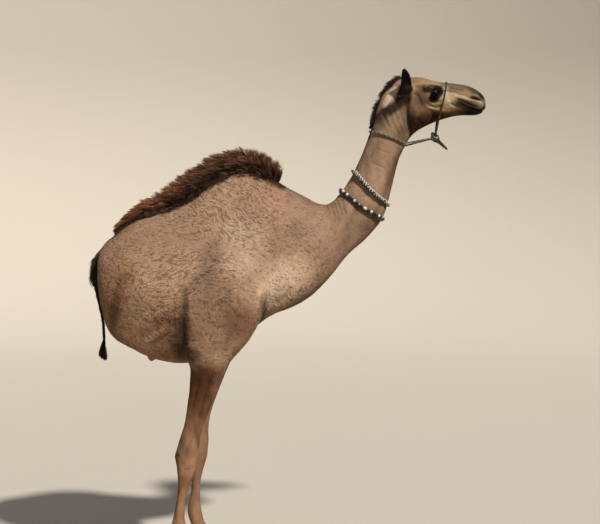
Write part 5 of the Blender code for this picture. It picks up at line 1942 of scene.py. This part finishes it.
def bead_row(places, ways, radii, lengths, colours):
    """Beads as one mesh: each a ball stretched along the string, and a little flat at its ends."""
    points, faces = ball_template()
    points[:, 2] = np.sign(points[:, 2]) * np.abs(points[:, 2]) ** 1.15
    side = unit(np.cross(ways, (0.13, 0.21, 0.97)))
    rise = np.cross(side, ways)
    placed = np.repeat(places[:, None], len(points), axis=1)
    for axis, size, column in ((side, radii, 0), (rise, radii, 1), (ways, lengths, 2)):
        placed = placed + axis[:, None] * (points[None, :, column, None] * size[:, None, None])
    index = faces[None] + (np.arange(len(places)) * len(points))[:, None, None]
    row = mesh_object("beads", placed.reshape(-1, 3), index.reshape(-1, 3))
    add_colours(row, np.repeat(colours, len(points), axis=0))
    return row


def string_path(tree, string, clearance):
    ring = ring_on(tree, string["middle"], string["lean"], clearance, 48, sag=STRING_SAG)
    for _ in range(3):
        ring = (np.roll(ring, 1, 0) + 2 * ring + np.roll(ring, -1, 0)) / 4
    return ring


def down_the_neck(string):
    """The way down the neck, square to a string's plane."""
    lean = math.radians(string["lean"])
    return np.array((math.sin(lean), 0, -math.cos(lean)))


def upper_necklace(tree, random):
    """A dark woollen cord, with two strings of small white beads wound round it."""
    ring = string_path(tree, UPPER_STRING, 0.0125)
    # the dark cord, a little down the neck, also stands in for the band of shade under the beads
    core = ring + down_the_neck(UPPER_STRING) * 0.0035
    parts = [twisted_rope("wool", core, 0.0085, 0.034, WOOL_COLOURS, closed=True)]
    path = even_steps(ring, 0.0030, closed=True)
    reach = np.arange(len(path)) / len(path)
    for ply in range(2):
        phase = math.tau * (24 * reach + ply / 2)
        centre = wound_round(path, phase, 0.0072 + 0.0012 * np.sin(phase), closed=True)
        places = even_steps(centre, 0.0078, closed=True)
        count = len(places)
        radii = 0.0040 * random.uniform(0.92, 1.08, count)
        colours = shaded(BEAD_WHITE, random.uniform(0.80, 1.1, count))
        colours[random.random(count) < 0.16] = np.array(BEAD_BLACK) * 2
        parts.append(bead_row(places, ways_along(places, closed=True), radii, radii * 0.92, colours))
    return join("necklace_upper_beads", parts)


def lower_necklace(tree, random):
    """One string of larger beads, black between white, along a dark woollen cord."""
    dense = even_steps(string_path(tree, LOWER_STRING, 0.0150), BEAD_STEP, closed=True)
    total = len(dense) * BEAD_STEP
    rows, reach = [], 0.0
    while reach < total - 0.004:
        radius, half, colour = BEAD_PATTERN[len(rows) % len(BEAD_PATTERN)]
        rows.append((reach + half, radius, half, colour))
        reach += 2 * half + BEAD_GAP
    starts, radii, halves, colours = (np.array(column) for column in zip(*rows))
    scale = total / reach
    index = starts * scale / BEAD_STEP % len(dense)
    places = read_at(index, np.arange(len(dense) + 1), np.vstack([dense, dense[:1]]))
    colours = colours * random.uniform(0.85, 1.1, len(rows))[:, None]
    beads = bead_row(places, ways_along(places, closed=True), radii, halves * scale, colours)
    # the dark cord, set below the beads, also stands in for the band of shade under them
    core = string_path(tree, LOWER_STRING, 0.0085) + down_the_neck(LOWER_STRING) * 0.0095
    wool = twisted_rope("wool", core, 0.0080, 0.032, WOOL_COLOURS, closed=True)
    return join("necklace_lower_beads", [beads, wool])


# ---------------------------------------------------------------- stage
def make_floor():
    """A plain pale floor that rises all round, far off, to a plain pale wall."""
    profile = [(2.0, 0.0), (5.0, 0.0), (FLOOR_RADIUS, 0.0)]
    for step in range(1, 13):
        angle = math.radians(7.5 * step)
        profile.append((FLOOR_RADIUS + 5.0 * math.sin(angle), 5.0 * (1 - math.cos(angle))))
    profile.append((FLOOR_RADIUS + 5.0, 8.0))
    count = 96
    points = [(0.0, 0.0, 0.0)]
    for radius, height in profile:
        for turn in np.linspace(0, math.tau, count, endpoint=False):
            points.append((radius * math.cos(turn), radius * math.sin(turn), height))
    k = np.arange(count)
    fan = np.stack([0 * k, 1 + k, 1 + (k + 1) % count], 1)
    floor = mesh_object("floor", points, fan, 1 + ring_quads(len(profile), count)[:, ::-1])
    dress(floor, floor_material())


def make_lights():
    sun = bpy.data.lights.new("key", "SUN")
    sun.energy = SUN_STRENGTH
    sun.angle = math.radians(SUN_SOFTNESS)
    sun.color = (1.0, 0.97, 0.92)
    lamp = add_object("key", sun)
    lamp.rotation_euler = SUN_WAY.to_track_quat("Z", "Y").to_euler()
    world = bpy.data.worlds.new("studio")
    bpy.context.scene.world = world
    world.use_nodes = True
    sky = world.node_tree.nodes["Background"]
    sky.inputs["Color"].default_value = SKY_COLOUR
    sky.inputs["Strength"].default_value = SKY_STRENGTH


def make_camera():
    lens = bpy.data.cameras.new("camera")
    lens.lens = CAMERA_LENS
    lens.sensor_width = 36.0
    camera = add_object("camera", lens)
    camera.location = CAMERA_PLACE
    camera.rotation_euler = (math.radians(90 - CAMERA_PITCH), 0.0, 0.0)
    bpy.context.scene.camera = camera


# ---------------------------------------------------------------- assembly
def ride(piece, material, slot, *replaced):
    dress(piece, material)
    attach(piece, "root")
    if replaced:
        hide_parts(*replaced)


def build_animal(nodes, random):
    skin = make_skin(nodes)
    surface = surface_of(skin)
    points, triangles, normals = surface
    add_colours(skin, markings_and_painted_shade(points, normals) * 0.86)
    skin_tree = BVHTree.FromPolygons(points.tolist(), triangles.tolist())
    ride(skin, fur_material("hide", 0.80, 420.0), "coat", *TRUNK_NODES, *LIMB_NODES, *EAR_NODES)
    coat = fur_material("coat_fur", 0.78, 700.0)
    for piece in make_coat(skin, random):
        ride(piece, coat, "coat")
    hair = long_hair_material("long_hair", 0.55)
    core = mane_core("crest_core", nodes["hump_mane"], skin_tree, 0.62, 0.010, 0.007)
    add_colours(core, shaded(CREST_BROWN, 0.25 + 0.12 * noise(read_points(core), 0.02, seed=95)))
    ride(core, hair, "dark_hair", "hump_mane")
    ride(hump_crest(core, nodes["hump_mane"], random), hair, "dark_hair")
    ride(crest_skirt(surface, random), hair, "dark_hair")
    core = mane_core("nape_core", nodes["nape_mane"], skin_tree, 0.50, 0.006, 0.004)
    add_colours(core, np.array(BLACK_BROWN) * 1.2)
    ride(core, hair, "dark_hair", "nape_mane")
    ride(nape_hair(core, nodes["nape_mane"], random), hair, "dark_hair")
    core = tail_core()
    add_colours(core, np.array(BLACK_BROWN) * 1.6)
    ride(core, hair, "dark_hair", "tail")
    fringe, end = tail_hair(random)
    ride(fringe, hair, "dark_hair")
    ride(end, hair, "dark_hair", "tail_tuft")
    ride(chin_hair(surface, random), hair, "dark_hair")
    for side in (-1, 1):
        ride(eye_ball(side), eye_material(), "eye", named("eye", side))
        ride(lashes(side, random), hair, "dark_hair")
        ride(ear_hair(side, random), hair, "dark_hair")
    return skin_tree


def build_tack(skin_tree, random):
    rope, fuzz, fray = make_halter(skin_tree, random)
    fibre = rope_material()
    ride(rope, fibre, "rope", "halter")
    ride(fuzz, fibre, "rope")
    ride(fray, fibre, "rope")
    glaze = bead_material()
    ride(upper_necklace(skin_tree, random), glaze, "beads", "necklace_upper")
    ride(lower_necklace(skin_tree, random), glaze, "beads", "necklace_lower")


def main():
    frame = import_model()
    nodes = frame["nodes"]
    random = np.random.default_rng(RANDOM_SEED)
    bpy.context.scene.view_settings.view_transform = "Standard"
    make_camera()
    make_lights()
    make_floor()
    skin_tree = build_animal(nodes, random)
    build_tack(skin_tree, random)
    horn = horn_material()
    for name in ("nail_left_a", "nail_left_b", "nail_right_a", "nail_right_b"):
        dress(nodes[name], horn)
    dress(nodes["stand_base"], base_material())


main()
